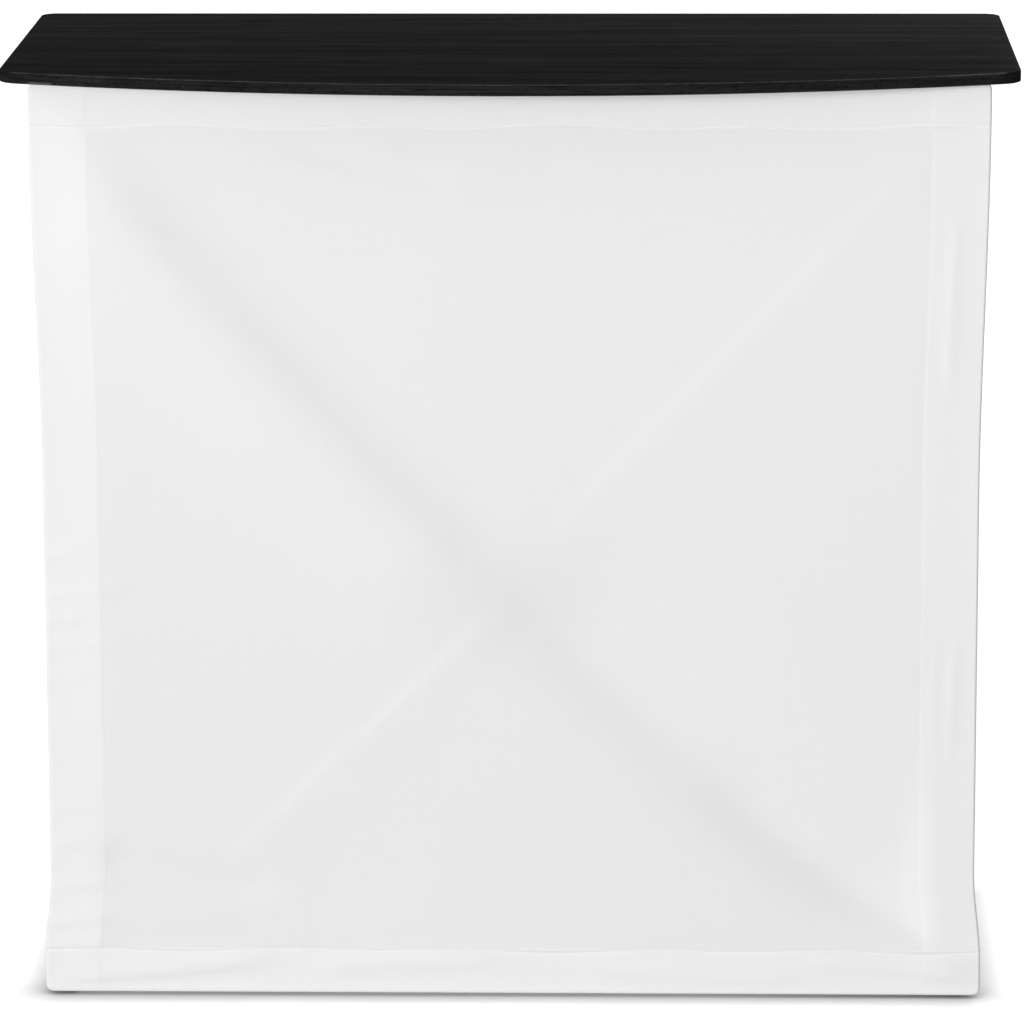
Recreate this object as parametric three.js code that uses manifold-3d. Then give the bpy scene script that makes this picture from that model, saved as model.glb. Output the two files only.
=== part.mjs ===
// Folding portable bar: a bow-fronted board on a three-panel folding frame with stretched white cloth.
// The front panel stands between two hinged wings, which fold inwards flat behind it once the board is off.
// Millimetres, +Z up, -Y to the guests' side. The origin is on the floor under the middle of the board.

import * as THREE from "three";
import { mergeVertices } from "three/addons/utils/BufferGeometryUtils.js";
import Module from "manifold-3d";

const wasm = await Module();
wasm.setup();

// Overall sizes
const BAR_HEIGHT = 1000;
const BODY_WIDTH = 1000; // front cloth, edge to edge over its corner fittings

// Board
const BOARD_THICKNESS = 12;
const BOARD_SIDE_DEPTH = 460; // straight ends
const BOARD_BOW = 95; // how far the front edge bows out past its corners
const BOARD_SIDE_OVERHANG = 30; // past the front cloth, each end
const BOARD_FRONT_OVERHANG = 14; // front corners past the front cloth
const BOARD_BACK_OVERHANG = 25; // past the wings
const BOARD_FRONT_RADIUS = 30;
const BOARD_BACK_RADIUS = 18;

// Clearances
const FIT_GAP = 0.3; // between pieces that seat on or in each other
const PEG_CLEARANCE = 0.4; // round a peg in its bush
const BORE_CLEARANCE = 0.35; // round a pin, rivet or screw in its hole

// Frame tubes and corner fittings
const TUBE_SIZE = 25;
const TUBE_WALL = 1.5;
const TUBE_EDGE_RADIUS = 2;
const FITTING_STANDOUT = 10; // front fittings past the outer faces of their post and rail
const FITTING_LIP = 1; // fittings past the other tube faces
const FITTING_CORNER_RADIUS = 12; // outer corner of a front fitting, which the cloth wraps
const SPIGOT_LENGTH = 35;
const WING_GAP = 2.5; // between the front panel and a wing

// Feet, pegs and pads, all set back from the cloth's returned edges
const REST_SETBACK = 4; // from the middle of the tube
const REST_RADIUS = 8; // of a foot, a peg's shoulder and a pad
const FOOT_HEIGHT = 5;
const FOOT_CHAMFER = 1;
const FOOT_STEM_RADIUS = 4;
const FOOT_STEM_LENGTH = 9;
const SHOULDER_HEIGHT = 1.5;
const PEG_RADIUS = 5;
const PEG_HEIGHT = 8;
const BUSH_WALL = 2;
const BUSH_HEIGHT = 9;
const PAD_THICKNESS = 1.5; // hook pad on a wing, and loop pad under the board

// Hinges, two to a wing
const HINGE_LENGTH = 60;
const HINGE_FROM_END = 200; // middle of a hinge from the end of its wing
const KNUCKLE_RADIUS = 4.5;
const KNUCKLE_GAP = 0.5; // between knuckles, and from a knuckle to the other leaf
const LEAF_THICKNESS = 1.8;
const LEAF_REACH = 22; // far edge of a leaf from the pin's axis
const PIN_RADIUS = 2.5;
const PIN_HEAD_RADIUS = 3.6;
const PIN_HEAD_HEIGHT = 1.5;

// Cross brace of the front panel: two flat straps with feet bent on to the rails
const STRAP_WIDTH = 15;
const STRAP_THICKNESS = 2;
const STRAP_FROM_POST = 38; // middle of a strap's foot from the post
const STRAP_SPACING = 4; // between the two straps where they cross
const STRAP_FOOT_REACH = 14;
const RIVET_RADIUS = 3;
const RIVET_HEAD_RADIUS = 6;
const RIVET_HEAD_HEIGHT = 1.6;
const SCREW_RADIUS = 2;
const SCREW_HEAD_RADIUS = 4;
const SCREW_HEAD_HEIGHT = 2.4;
const SCREW_REACH = 3; // past the wall of the rail
const HEAD_TAPER = 0.6; // top of a screw's or rivet's head, as a share of its radius

// Cloth
const CLOTH_THICKNESS = 1.2;
const CLOTH_SIDE_RETURN = 25; // round the posts of the front panel
const CLOTH_EDGE_RETURN = 9; // over the rails, and all round a wing
const CLOTH_NECK = 10; // how far the stretched sides draw in between the corner fittings
const NECK_TOP_SPAN = 400; // height over which the sides draw in below the upper fittings
const NECK_FOOT_SPAN = 58; // height over which they spread again to the lower fittings
const CLOTH_CORNER_RADIUS = 8;
const FOLD_MARGIN = 45; // flat border of the cloth, where the frame backs it
const FOLD_FADE = 90; // height over which a fold dies out towards that border
const GROOVE = { depth: 6, spread: 48, sag: 32, fromTop: true }; // drag fold, top left to bottom right
const RIDGE = { depth: -3.5, spread: 40, sag: 23, fromTop: false }; // over the front strap
const CLOTH_COLUMNS = 17;
const CLOTH_ROWS = 17;
const WING_CLOTH_COLUMNS = 2;
const WING_CLOTH_ROWS = 4;

// Fineness of round shapes, and how cuts are made
const ROUND_SIDES = 16;
const EDGE_SEGMENTS = 3; // of a tube's or wing fitting's small edge radius
const CORNER_SEGMENTS = 4; // of a front fitting's corner
const BOARD_SEGMENTS = 12; // of each arc of the board's outline
const CUT_PAST = 1; // how far a hole's cutter reaches past the face
const WELD_DISTANCE = 1e-5;

// Heights
const boardUnder = BAR_HEIGHT - BOARD_THICKNESS;
const shoulderTop = boardUnder - FIT_GAP;
const frontTop = shoulderTop - SHOULDER_HEIGHT;
const loopPadBottom = boardUnder - FIT_GAP - PAD_THICKNESS;
const hookPadBottom = loopPadBottom - FIT_GAP - PAD_THICKNESS;
const wingTop = hookPadBottom - FIT_GAP;
const halfTube = TUBE_SIZE / 2;
const frontReach = halfTube + FITTING_STANDOUT;
const lipReach = halfTube + FITTING_LIP;
const frontRailLow = FOOT_HEIGHT + frontReach;
const frontRailHigh = frontTop - frontReach;
const wingRailLow = FOOT_HEIGHT + lipReach;
const wingRailHigh = wingTop - lipReach;

// Places across the bar and from front to back, for its right half
const clothSkin = CLOTH_THICKNESS + FIT_GAP;
const boardWidth = BODY_WIDTH + 2 * BOARD_SIDE_OVERHANG;
const boardBack = (BOARD_SIDE_DEPTH + BOARD_BOW) / 2;
const boardChord = boardBack - BOARD_SIDE_DEPTH;
const clothFront = boardChord + BOARD_FRONT_OVERHANG;
const postX = BODY_WIDTH / 2 - clothSkin - frontReach;
const postY = clothFront + clothSkin + lipReach;
const postInnerX = postX - halfTube;
const wingFront = postY + lipReach + WING_GAP;
const wingBack = boardBack - BOARD_BACK_OVERHANG;
const wingFrontY = wingFront + lipReach;
const wingBackY = wingBack - lipReach;
const restX = postX - REST_SETBACK;
const restY = postY + REST_SETBACK;
const hingeX = postInnerX - FIT_GAP - KNUCKLE_RADIUS;
const hingeY = (postY + wingFrontY) / 2;

const materials = {
  board: new THREE.MeshStandardMaterial({ color: 0x1e1d1c, roughness: 0.5, metalness: 0 }),
  cloth: new THREE.MeshStandardMaterial({ color: 0xf0efec, roughness: 0.9, metalness: 0 }),
  aluminium: new THREE.MeshStandardMaterial({ color: 0xc8cacb, roughness: 0.4, metalness: 1 }),
  nylon: new THREE.MeshStandardMaterial({ color: 0xdfdfdb, roughness: 0.55, metalness: 0 }),
  zinc: new THREE.MeshStandardMaterial({ color: 0xb4b8ba, roughness: 0.35, metalness: 1 }),
  rubber: new THREE.MeshStandardMaterial({ color: 0x8b8b88, roughness: 0.9, metalness: 0 }),
  tape: new THREE.MeshStandardMaterial({ color: 0xe6e6e2, roughness: 0.95, metalness: 0 }),
};

function solidOf(geometry) {
  const bare = geometry.clone();
  bare.deleteAttribute("normal");
  bare.deleteAttribute("uv");
  const welded = mergeVertices(bare, WELD_DISTANCE);
  const vertProperties = new Float32Array(welded.attributes.position.array);
  const triVerts = new Uint32Array(welded.index.array);
  return new wasm.Manifold(new wasm.Mesh({ numProp: 3, vertProperties, triVerts }));
}

function geometryOf(solid) {
  const mesh = solid.getMesh();
  const geometry = new THREE.BufferGeometry();
  geometry.setAttribute("position", new THREE.BufferAttribute(new Float32Array(mesh.vertProperties), 3));
  geometry.setIndex(new THREE.BufferAttribute(new Uint32Array(mesh.triVerts), 1));
  return geometry;
}

function join(first, ...others) {
  return geometryOf(others.reduce((whole, piece) => whole.add(solidOf(piece)), solidOf(first)));
}

function cut(body, ...tools) {
  return geometryOf(tools.reduce((left, tool) => left.subtract(solidOf(tool)), solidOf(body)));
}

function boxBetween(x0, x1, y0, y1, z0, z1) {
  const box = new THREE.BoxGeometry(x1 - x0, y1 - y0, z1 - z0);
  return box.translate((x0 + x1) / 2, (y0 + y1) / 2, (z0 + z1) / 2);
}

function uprightRod(radius, x, y, z0, z1) {
  const rod = new THREE.CylinderGeometry(radius, radius, z1 - z0, ROUND_SIDES);
  return rod.rotateX(Math.PI / 2).translate(x, y, (z0 + z1) / 2);
}

// A turned piece standing on the Z axis, from its outline as radius and height.
function turned(outline) {
  const points = outline.map(([radius, height]) => new THREE.Vector2(radius, height));
  return new THREE.LatheGeometry(points, ROUND_SIDES).rotateX(Math.PI / 2);
}

function addPiece(group, name, geometry, material, x = 0, y = 0, z = 0) {
  const mesh = new THREE.Mesh(geometry, material);
  mesh.name = name;
  mesh.position.set(x, y, z);
  group.add(mesh);
  return mesh;
}

function roundedRectangle(x0, x1, y0, y1, radii) {
  const [lowLeft, lowRight, highRight, highLeft] = radii;
  const outline = new THREE.Shape();
  outline.absarc(x1 - lowRight, y0 + lowRight, lowRight, -Math.PI / 2, 0);
  outline.absarc(x1 - highRight, y1 - highRight, highRight, 0, Math.PI / 2);
  outline.absarc(x0 + highLeft, y1 - highLeft, highLeft, Math.PI / 2, Math.PI);
  outline.absarc(x0 + lowLeft, y0 + lowLeft, lowLeft, Math.PI, 1.5 * Math.PI);
  return outline;
}

// Square tube along Z, open at both ends, with rounded outer edges.
function tube(length) {
  const edges = Array(4).fill(TUBE_EDGE_RADIUS);
  const outline = roundedRectangle(-halfTube, halfTube, -halfTube, halfTube, edges);
  const bore = halfTube - TUBE_WALL;
  const hole = new THREE.Path();
  hole.moveTo(-bore, -bore).lineTo(-bore, bore).lineTo(bore, bore).lineTo(bore, -bore).closePath();
  outline.holes.push(hole);
  const solid = { depth: length, bevelEnabled: false, curveSegments: EDGE_SEGMENTS };
  return new THREE.ExtrudeGeometry(outline, solid);
}

function uprightTube(z0, z1) {
  return tube(z1 - z0).translate(0, 0, z0);
}

function deepTube(y0, y1) {
  return tube(y1 - y0).rotateX(-Math.PI / 2).translate(0, y0, 0);
}

function acrossTube(x0, x1) {
  return tube(x1 - x0).rotateY(Math.PI / 2).translate(x0, 0, 0);
}

const spigotHalf = halfTube - TUBE_WALL - FIT_GAP;

function uprightSpigot(up) {
  const [z0, z1] = up > 0 ? [0, lipReach + SPIGOT_LENGTH] : [-lipReach - SPIGOT_LENGTH, 0];
  return boxBetween(-spigotHalf, spigotHalf, -spigotHalf, spigotHalf, z0, z1);
}

// Socket for a foot's stem, and the foot itself with its top under the fitting.
function footSocket(x, y, fittingBottom) {
  const top = fittingBottom + FOOT_STEM_LENGTH + FIT_GAP;
  return uprightRod(FOOT_STEM_RADIUS + FIT_GAP, x, y, fittingBottom - FIT_GAP, top);
}

function foot() {
  const padTop = FOOT_HEIGHT - FIT_GAP;
  const stemTop = FOOT_HEIGHT + FOOT_STEM_LENGTH;
  const tread = REST_RADIUS - FOOT_CHAMFER;
  return turned([[0, 0], [tread, 0], [REST_RADIUS, FOOT_CHAMFER], [REST_RADIUS, padTop],
    [FOOT_STEM_RADIUS, padTop], [FOOT_STEM_RADIUS, stemTop], [0, stemTop]]);
}

// Corner fitting of the front panel, about the crossing of its post and rail. up is 1 at the bottom corner.
function frontFitting(up) {
  const lowRadius = up > 0 ? FITTING_CORNER_RADIUS : TUBE_EDGE_RADIUS;
  const highRadius = up > 0 ? TUBE_EDGE_RADIUS : FITTING_CORNER_RADIUS;
  const [z0, z1] = up > 0 ? [-frontReach, lipReach] : [-lipReach, frontReach];
  const radii = [TUBE_EDGE_RADIUS, lowRadius, highRadius, TUBE_EDGE_RADIUS];
  const outline = roundedRectangle(-lipReach, frontReach, z0, z1, radii);
  const solid = { depth: 2 * lipReach, bevelEnabled: false, curveSegments: CORNER_SEGMENTS };
  const block = new THREE.ExtrudeGeometry(outline, solid).rotateX(Math.PI / 2).translate(0, lipReach, 0);
  const railSpigot = boxBetween(
    -lipReach - SPIGOT_LENGTH, 0, -spigotHalf, spigotHalf, -spigotHalf, spigotHalf);
  return join(block, railSpigot, uprightSpigot(up));
}

function frontLowFitting() {
  return cut(frontFitting(1), footSocket(-REST_SETBACK, REST_SETBACK, -frontReach));
}

function frontHighFitting() {
  const shoulder = frontReach + SHOULDER_HEIGHT;
  const seat = uprightRod(REST_RADIUS, -REST_SETBACK, REST_SETBACK, lipReach, shoulder);
  const peg = uprightRod(PEG_RADIUS, -REST_SETBACK, REST_SETBACK, lipReach, shoulder + PEG_HEIGHT);
  return join(frontFitting(-1), seat, peg);
}

// Corner fitting of a wing. up is 1 at the bottom, back is 1 where its rail runs to the back.
function wingFitting(up, back) {
  const edges = Array(4).fill(TUBE_EDGE_RADIUS);
  const outline = roundedRectangle(-lipReach, lipReach, -lipReach, lipReach, edges);
  const solid = { depth: 2 * lipReach, bevelEnabled: false, curveSegments: EDGE_SEGMENTS };
  const block = new THREE.ExtrudeGeometry(outline, solid).translate(0, 0, -lipReach);
  const reach = lipReach + SPIGOT_LENGTH;
  const [y0, y1] = back > 0 ? [0, reach] : [-reach, 0];
  const railSpigot = boxBetween(-spigotHalf, spigotHalf, y0, y1, -spigotHalf, spigotHalf);
  const whole = join(block, railSpigot, uprightSpigot(up));
  return up > 0 ? cut(whole, footSocket(-REST_SETBACK, 0, -lipReach)) : whole;
}

// Hinge about the Z axis from z = 0, with the tube faces on its +X side.
// towards is the side of Y that the leaf lies on, and knuckles lists which thirds of the height it holds.
const knuckleLength = (HINGE_LENGTH - 2 * KNUCKLE_GAP) / 3;

function hingeLeaf(towards, knuckles) {
  const near = KNUCKLE_RADIUS + KNUCKLE_GAP;
  const side = (from, to) => (towards > 0 ? [from, to] : [-to, -from]);
  const leafX = KNUCKLE_RADIUS - LEAF_THICKNESS;
  const pieces = [boxBetween(leafX, KNUCKLE_RADIUS, ...side(near, LEAF_REACH), 0, HINGE_LENGTH)];
  for (const index of knuckles) {
    const z0 = index * (knuckleLength + KNUCKLE_GAP);
    const z1 = z0 + knuckleLength;
    pieces.push(boxBetween(leafX, KNUCKLE_RADIUS, ...side(0, near + LEAF_THICKNESS), z0, z1));
    pieces.push(uprightRod(KNUCKLE_RADIUS, 0, 0, z0, z1));
  }
  const bore = uprightRod(PIN_RADIUS + BORE_CLEARANCE, 0, 0, -CUT_PAST, HINGE_LENGTH + CUT_PAST);
  return cut(join(...pieces), bore);
}

function hingePin() {
  const low = -FIT_GAP;
  const high = HINGE_LENGTH + FIT_GAP;
  const bottom = low - PIN_HEAD_HEIGHT;
  const top = high + PIN_HEAD_HEIGHT;
  return turned([[0, bottom], [PIN_HEAD_RADIUS, bottom], [PIN_HEAD_RADIUS, low], [PIN_RADIUS, low],
    [PIN_RADIUS, high], [PIN_HEAD_RADIUS, high], [PIN_HEAD_RADIUS, top], [0, top]]);
}

// A strap that rises to the right. The front one's feet reach back, and the back one's reach forward.
const strapEndX = postInnerX - STRAP_FROM_POST;
const strapLow = frontRailLow + halfTube + FIT_GAP;
const strapHigh = frontRailHigh - halfTube - FIT_GAP;
const strapMiddleZ = (strapLow + strapHigh) / 2;
const frontStrapY = postY - STRAP_SPACING / 2 - STRAP_THICKNESS;
const backStrapY = postY + STRAP_SPACING / 2;
const footScrewReach = STRAP_FOOT_REACH / 2 + STRAP_THICKNESS / 2; // from the strap's outer face

function strap(outerY, footDirection) {
  const footHalf = STRAP_WIDTH / 2 / Math.sin(Math.atan2(strapHigh - strapLow, 2 * strapEndX));
  const corners = [[-strapEndX - footHalf, strapLow], [-strapEndX + footHalf, strapLow],
    [strapEndX + footHalf, strapHigh], [strapEndX - footHalf, strapHigh]];
  const outline = new THREE.Shape(corners.map(([x, z]) => new THREE.Vector2(x, z)));
  const solid = { depth: STRAP_THICKNESS, bevelEnabled: false };
  const bar = new THREE.ExtrudeGeometry(outline, solid).rotateX(Math.PI / 2);
  bar.translate(0, footDirection > 0 ? STRAP_THICKNESS : 0, 0);
  const [y0, y1] = footDirection > 0 ? [0, STRAP_FOOT_REACH] : [-STRAP_FOOT_REACH, 0];
  const holes = [];
  const feet = [];
  for (const [x, z0] of [[-strapEndX, strapLow], [strapEndX, strapHigh - STRAP_THICKNESS]]) {
    const z1 = z0 + STRAP_THICKNESS;
    feet.push(boxBetween(x - footHalf, x + footHalf, y0, y1, z0, z1));
    const screwY = footDirection * footScrewReach;
    holes.push(uprightRod(SCREW_RADIUS + BORE_CLEARANCE, x, screwY, z0 - CUT_PAST, z1 + CUT_PAST));
  }
  const rivetHole = uprightRod(RIVET_RADIUS + BORE_CLEARANCE, 0, 0, -STRAP_FOOT_REACH, STRAP_FOOT_REACH);
  holes.push(rivetHole.rotateX(Math.PI / 2).translate(0, 0, strapMiddleZ));
  return cut(join(bar, ...feet), ...holes).translate(0, outerY, 0);
}

// Rivet through both straps, with a collar that keeps them apart, along +Y from the front strap's face.
function braceRivet() {
  const backFace = 2 * STRAP_THICKNESS + STRAP_SPACING;
  const collarStart = STRAP_THICKNESS + FIT_GAP;
  const collarEnd = collarStart + STRAP_SPACING - 2 * FIT_GAP;
  const head = -FIT_GAP;
  const tail = backFace + FIT_GAP;
  const headTop = RIVET_HEAD_RADIUS * HEAD_TAPER;
  const rivet = turned([[0, head - RIVET_HEAD_HEIGHT], [headTop, head - RIVET_HEAD_HEIGHT],
    [RIVET_HEAD_RADIUS, head], [RIVET_RADIUS, head], [RIVET_RADIUS, collarStart],
    [RIVET_HEAD_RADIUS, collarStart], [RIVET_HEAD_RADIUS, collarEnd], [RIVET_RADIUS, collarEnd],
    [RIVET_RADIUS, tail], [RIVET_HEAD_RADIUS, tail],
    [headTop, tail + RIVET_HEAD_HEIGHT], [0, tail + RIVET_HEAD_HEIGHT]]);
  return rivet.rotateX(-Math.PI / 2);
}

// Screw of a strap's foot, pointing down from z = 0 under its head.
function strapScrew() {
  const tip = -FIT_GAP - STRAP_THICKNESS - FIT_GAP - TUBE_WALL - SCREW_REACH;
  return turned([[0, tip], [SCREW_RADIUS, tip], [SCREW_RADIUS, 0], [SCREW_HEAD_RADIUS, 0],
    [SCREW_HEAD_RADIUS * HEAD_TAPER, SCREW_HEAD_HEIGHT], [0, SCREW_HEAD_HEIGHT]]);
}

// The four feet screws: which strap, which end of the rails, and which rail.
const screwPlaces = ["left", "right"].flatMap((side) => ["lower", "upper"].map((level) => {
  const sideSign = side === "right" ? 1 : -1;
  const onFrontStrap = (side === "right") === (level === "upper");
  const y = onFrontStrap ? frontStrapY + footScrewReach
    : backStrapY + STRAP_THICKNESS - footScrewReach;
  return { side, level, x: sideSign * strapEndX, y };
}));

function frontRail(level, z) {
  const end = postX - lipReach - FIT_GAP;
  const holes = screwPlaces.filter((place) => place.level === level).map(({ x, y }) => {
    const [z0, z1] = level === "lower" ? [0, TUBE_SIZE] : [-TUBE_SIZE, 0];
    return uprightRod(SCREW_RADIUS + BORE_CLEARANCE, x, y - postY, z0, z1);
  });
  return cut(acrossTube(-end, end), ...holes).translate(0, postY, z);
}

// Lines of a cloth grid: at the edge, where its corner radius ends, where a fitting ends, then even steps.
const fittingSpan = clothSkin + frontReach + lipReach;

function gridLines(length, steps) {
  const inner = length - 2 * fittingSpan;
  const even = Array.from({ length: steps + 1 }, (_, i) => fittingSpan + (inner * i) / steps);
  return [0, CLOTH_CORNER_RADIUS, ...even, length - CLOTH_CORNER_RADIUS, length];
}

function fade(distance, from, span) {
  return THREE.MathUtils.smoothstep(distance, from, from + span);
}

// Depth of one diagonal fold: a soft channel along a sagging line between opposite corners of the panel.
function foldDepth(fold, x, z, width, height) {
  const startZ = fold.fromTop ? height - FOLD_MARGIN : FOLD_MARGIN;
  const start = new THREE.Vector2(-width / 2 + FOLD_MARGIN, startZ);
  const line = new THREE.Vector2(width - 2 * FOLD_MARGIN, height - 2 * FOLD_MARGIN);
  line.y *= fold.fromTop ? -1 : 1;
  const span = line.length();
  line.divideScalar(span);
  const point = new THREE.Vector2(x, z).sub(start);
  const share = point.dot(line) / span;
  const sag = 4 * fold.sag * share * (1 - share);
  const offset = line.cross(point) + sag;
  return fold.depth * Math.exp(-((offset / fold.spread) ** 2));
}

// Stretched cloth over one panel, seen from its front (-Y), as one closed sheet with returned edges.
// x runs across from the middle, z up from the bottom edge, and the outer face lies at y = 0.
function stretchedCloth({ width, height, columns, rows, sideReturn, neck, folds, cornerRadius }) {
  const across = gridLines(width, columns);
  const upward = gridLines(height, rows);
  const lastColumn = across.length - 1;
  const lastRow = upward.length - 1;
  const cornerCut = cornerRadius * (1 - Math.SQRT1_2);
  const positions = [];
  const faces = [];

  const edgeSign = (index, last) => (index === 0 ? 1 : index === last ? -1 : 0);
  const outerPoint = (i, j) => {
    const atSide = edgeSign(i, lastColumn);
    const atEnd = edgeSign(j, lastRow);
    const rounding = atSide && atEnd ? cornerCut : 0;
    const z = upward[j] + atEnd * rounding;
    const below = fade(height - z, fittingSpan, NECK_TOP_SPAN);
    const drawnIn = neck * below * fade(z, fittingSpan, NECK_FOOT_SPAN);
    const x = (across[i] - width / 2) * (1 - (2 * drawnIn) / width) + atSide * rounding;
    const inside = Math.min(width / 2 - Math.abs(x), z, height - z);
    const depth = folds.reduce((sum, fold) => sum + foldDepth(fold, x, z, width, height), 0);
    return [x, depth * fade(inside, FOLD_MARGIN, FOLD_FADE), z];
  };
  const innerPoint = (i, j) => {
    const [x, y, z] = outerPoint(i, j);
    const sideStep = edgeSign(i, lastColumn) * CLOTH_THICKNESS;
    const endStep = edgeSign(j, lastRow) * CLOTH_THICKNESS;
    const share = sideStep && endStep ? Math.SQRT1_2 : 1;
    return [x + sideStep * share, y + CLOTH_THICKNESS, z + endStep * share];
  };
  const addPoint = (point) => positions.push(...point) / 3 - 1;
  const addQuad = (a, b, c, d, alongAC) => {
    faces.push(...(alongAC ? [a, b, c, a, c, d] : [a, b, d, b, c, d]));
  };

  const grid = (pointAt) => across.map((_, i) => upward.map((__, j) => addPoint(pointAt(i, j))));
  const outer = grid(outerPoint);
  const inner = grid(innerPoint);
  for (let i = 0; i < lastColumn; i += 1) {
    for (let j = 0; j < lastRow; j += 1) {
      const alongAC = (i < lastColumn / 2) === (j < lastRow / 2);
      addQuad(outer[i][j], outer[i + 1][j], outer[i + 1][j + 1], outer[i][j + 1], alongAC);
      addQuad(inner[i][j], inner[i][j + 1], inner[i + 1][j + 1], inner[i + 1][j], alongAC);
    }
  }

  const loop = [];
  for (let i = 0; i < lastColumn; i += 1) {
    loop.push([i, 0]);
  }
  for (let j = 0; j < lastRow; j += 1) {
    loop.push([lastColumn, j]);
  }
  for (let i = lastColumn; i > 0; i -= 1) {
    loop.push([i, lastRow]);
  }
  for (let j = lastRow; j > 0; j -= 1) {
    loop.push([0, j]);
  }
  const returned = (pointAt) => loop.map(([i, j]) => {
    const [x, , z] = pointAt(i, j);
    const onSide = edgeSign(j, lastRow) === 0;
    return addPoint([x, onSide ? sideReturn : CLOTH_EDGE_RETURN, z]);
  });
  const outerRim = returned(outerPoint);
  const innerRim = returned(innerPoint);
  loop.forEach(([i, j], k) => {
    const next = (k + 1) % loop.length;
    const [iNext, jNext] = loop[next];
    addQuad(outer[i][j], outerRim[k], outerRim[next], outer[iNext][jNext], true);
    addQuad(inner[i][j], inner[iNext][jNext], innerRim[next], innerRim[k], true);
    addQuad(outerRim[k], innerRim[k], innerRim[next], outerRim[next], true);
  });

  const geometry = new THREE.BufferGeometry();
  geometry.setAttribute("position", new THREE.Float32BufferAttribute(positions, 3));
  geometry.setIndex(faces);
  return geometry;
}

function frontCloth() {
  const bottom = FOOT_HEIGHT - clothSkin;
  const cloth = stretchedCloth({
    width: BODY_WIDTH,
    height: frontTop + clothSkin - bottom,
    columns: CLOTH_COLUMNS,
    rows: CLOTH_ROWS,
    sideReturn: CLOTH_SIDE_RETURN,
    neck: CLOTH_NECK,
    folds: [GROOVE, RIDGE],
    cornerRadius: CLOTH_CORNER_RADIUS,
  });
  return cloth.translate(0, clothFront, bottom);
}

function wingCloth() {
  const bottom = FOOT_HEIGHT - clothSkin;
  const cloth = stretchedCloth({
    width: wingBack - wingFront + 2 * clothSkin,
    height: wingTop + clothSkin - bottom,
    columns: WING_CLOTH_COLUMNS,
    rows: WING_CLOTH_ROWS,
    sideReturn: CLOTH_EDGE_RETURN,
    neck: 0,
    folds: [],
    cornerRadius: 0,
  });
  const outerX = postX + lipReach + clothSkin;
  return cloth.rotateZ(Math.PI / 2).translate(outerX, (wingFront + wingBack) / 2, bottom);
}

// Board outline: straight back and ends, one long arc in front, and rounded corners.
function boardOutline() {
  const half = boardWidth / 2;
  const bowRadius = (half ** 2 + BOARD_BOW ** 2) / (2 * BOARD_BOW);
  const bowCentreY = boardChord - BOARD_BOW + bowRadius;
  const cornerX = half - BOARD_FRONT_RADIUS;
  const cornerY = bowCentreY - Math.sqrt((bowRadius - BOARD_FRONT_RADIUS) ** 2 - cornerX ** 2);
  const cornerTurn = Math.atan2(cornerY - bowCentreY, cornerX);
  const backX = half - BOARD_BACK_RADIUS;
  const backY = boardBack - BOARD_BACK_RADIUS;
  const outline = new THREE.Shape();
  outline.absarc(cornerX, cornerY, BOARD_FRONT_RADIUS, cornerTurn, 0);
  outline.absarc(backX, backY, BOARD_BACK_RADIUS, 0, Math.PI / 2);
  outline.absarc(-backX, backY, BOARD_BACK_RADIUS, Math.PI / 2, Math.PI);
  outline.absarc(-cornerX, cornerY, BOARD_FRONT_RADIUS, Math.PI, 2 * Math.PI - (Math.PI + cornerTurn));
  outline.absarc(0, bowCentreY, bowRadius, -Math.PI - cornerTurn, cornerTurn);
  return outline;
}

const bushOuter = PEG_RADIUS + PEG_CLEARANCE + BUSH_WALL;

function board() {
  const solid = { depth: BOARD_THICKNESS, bevelEnabled: false, curveSegments: BOARD_SEGMENTS };
  const slab = new THREE.ExtrudeGeometry(boardOutline(), solid).translate(0, 0, boardUnder);
  const holes = [-restX, restX].map((x) => (
    uprightRod(bushOuter + FIT_GAP, x, restY, boardUnder - CUT_PAST, boardUnder + BUSH_HEIGHT + FIT_GAP)));
  return cut(slab, ...holes);
}

function pegBush() {
  const bore = PEG_RADIUS + PEG_CLEARANCE;
  return turned([[bore, 0], [bushOuter, 0], [bushOuter, BUSH_HEIGHT], [bore, BUSH_HEIGHT], [bore, 0]]);
}

function restPad() {
  return uprightRod(REST_RADIUS, 0, 0, 0, PAD_THICKNESS);
}

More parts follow.
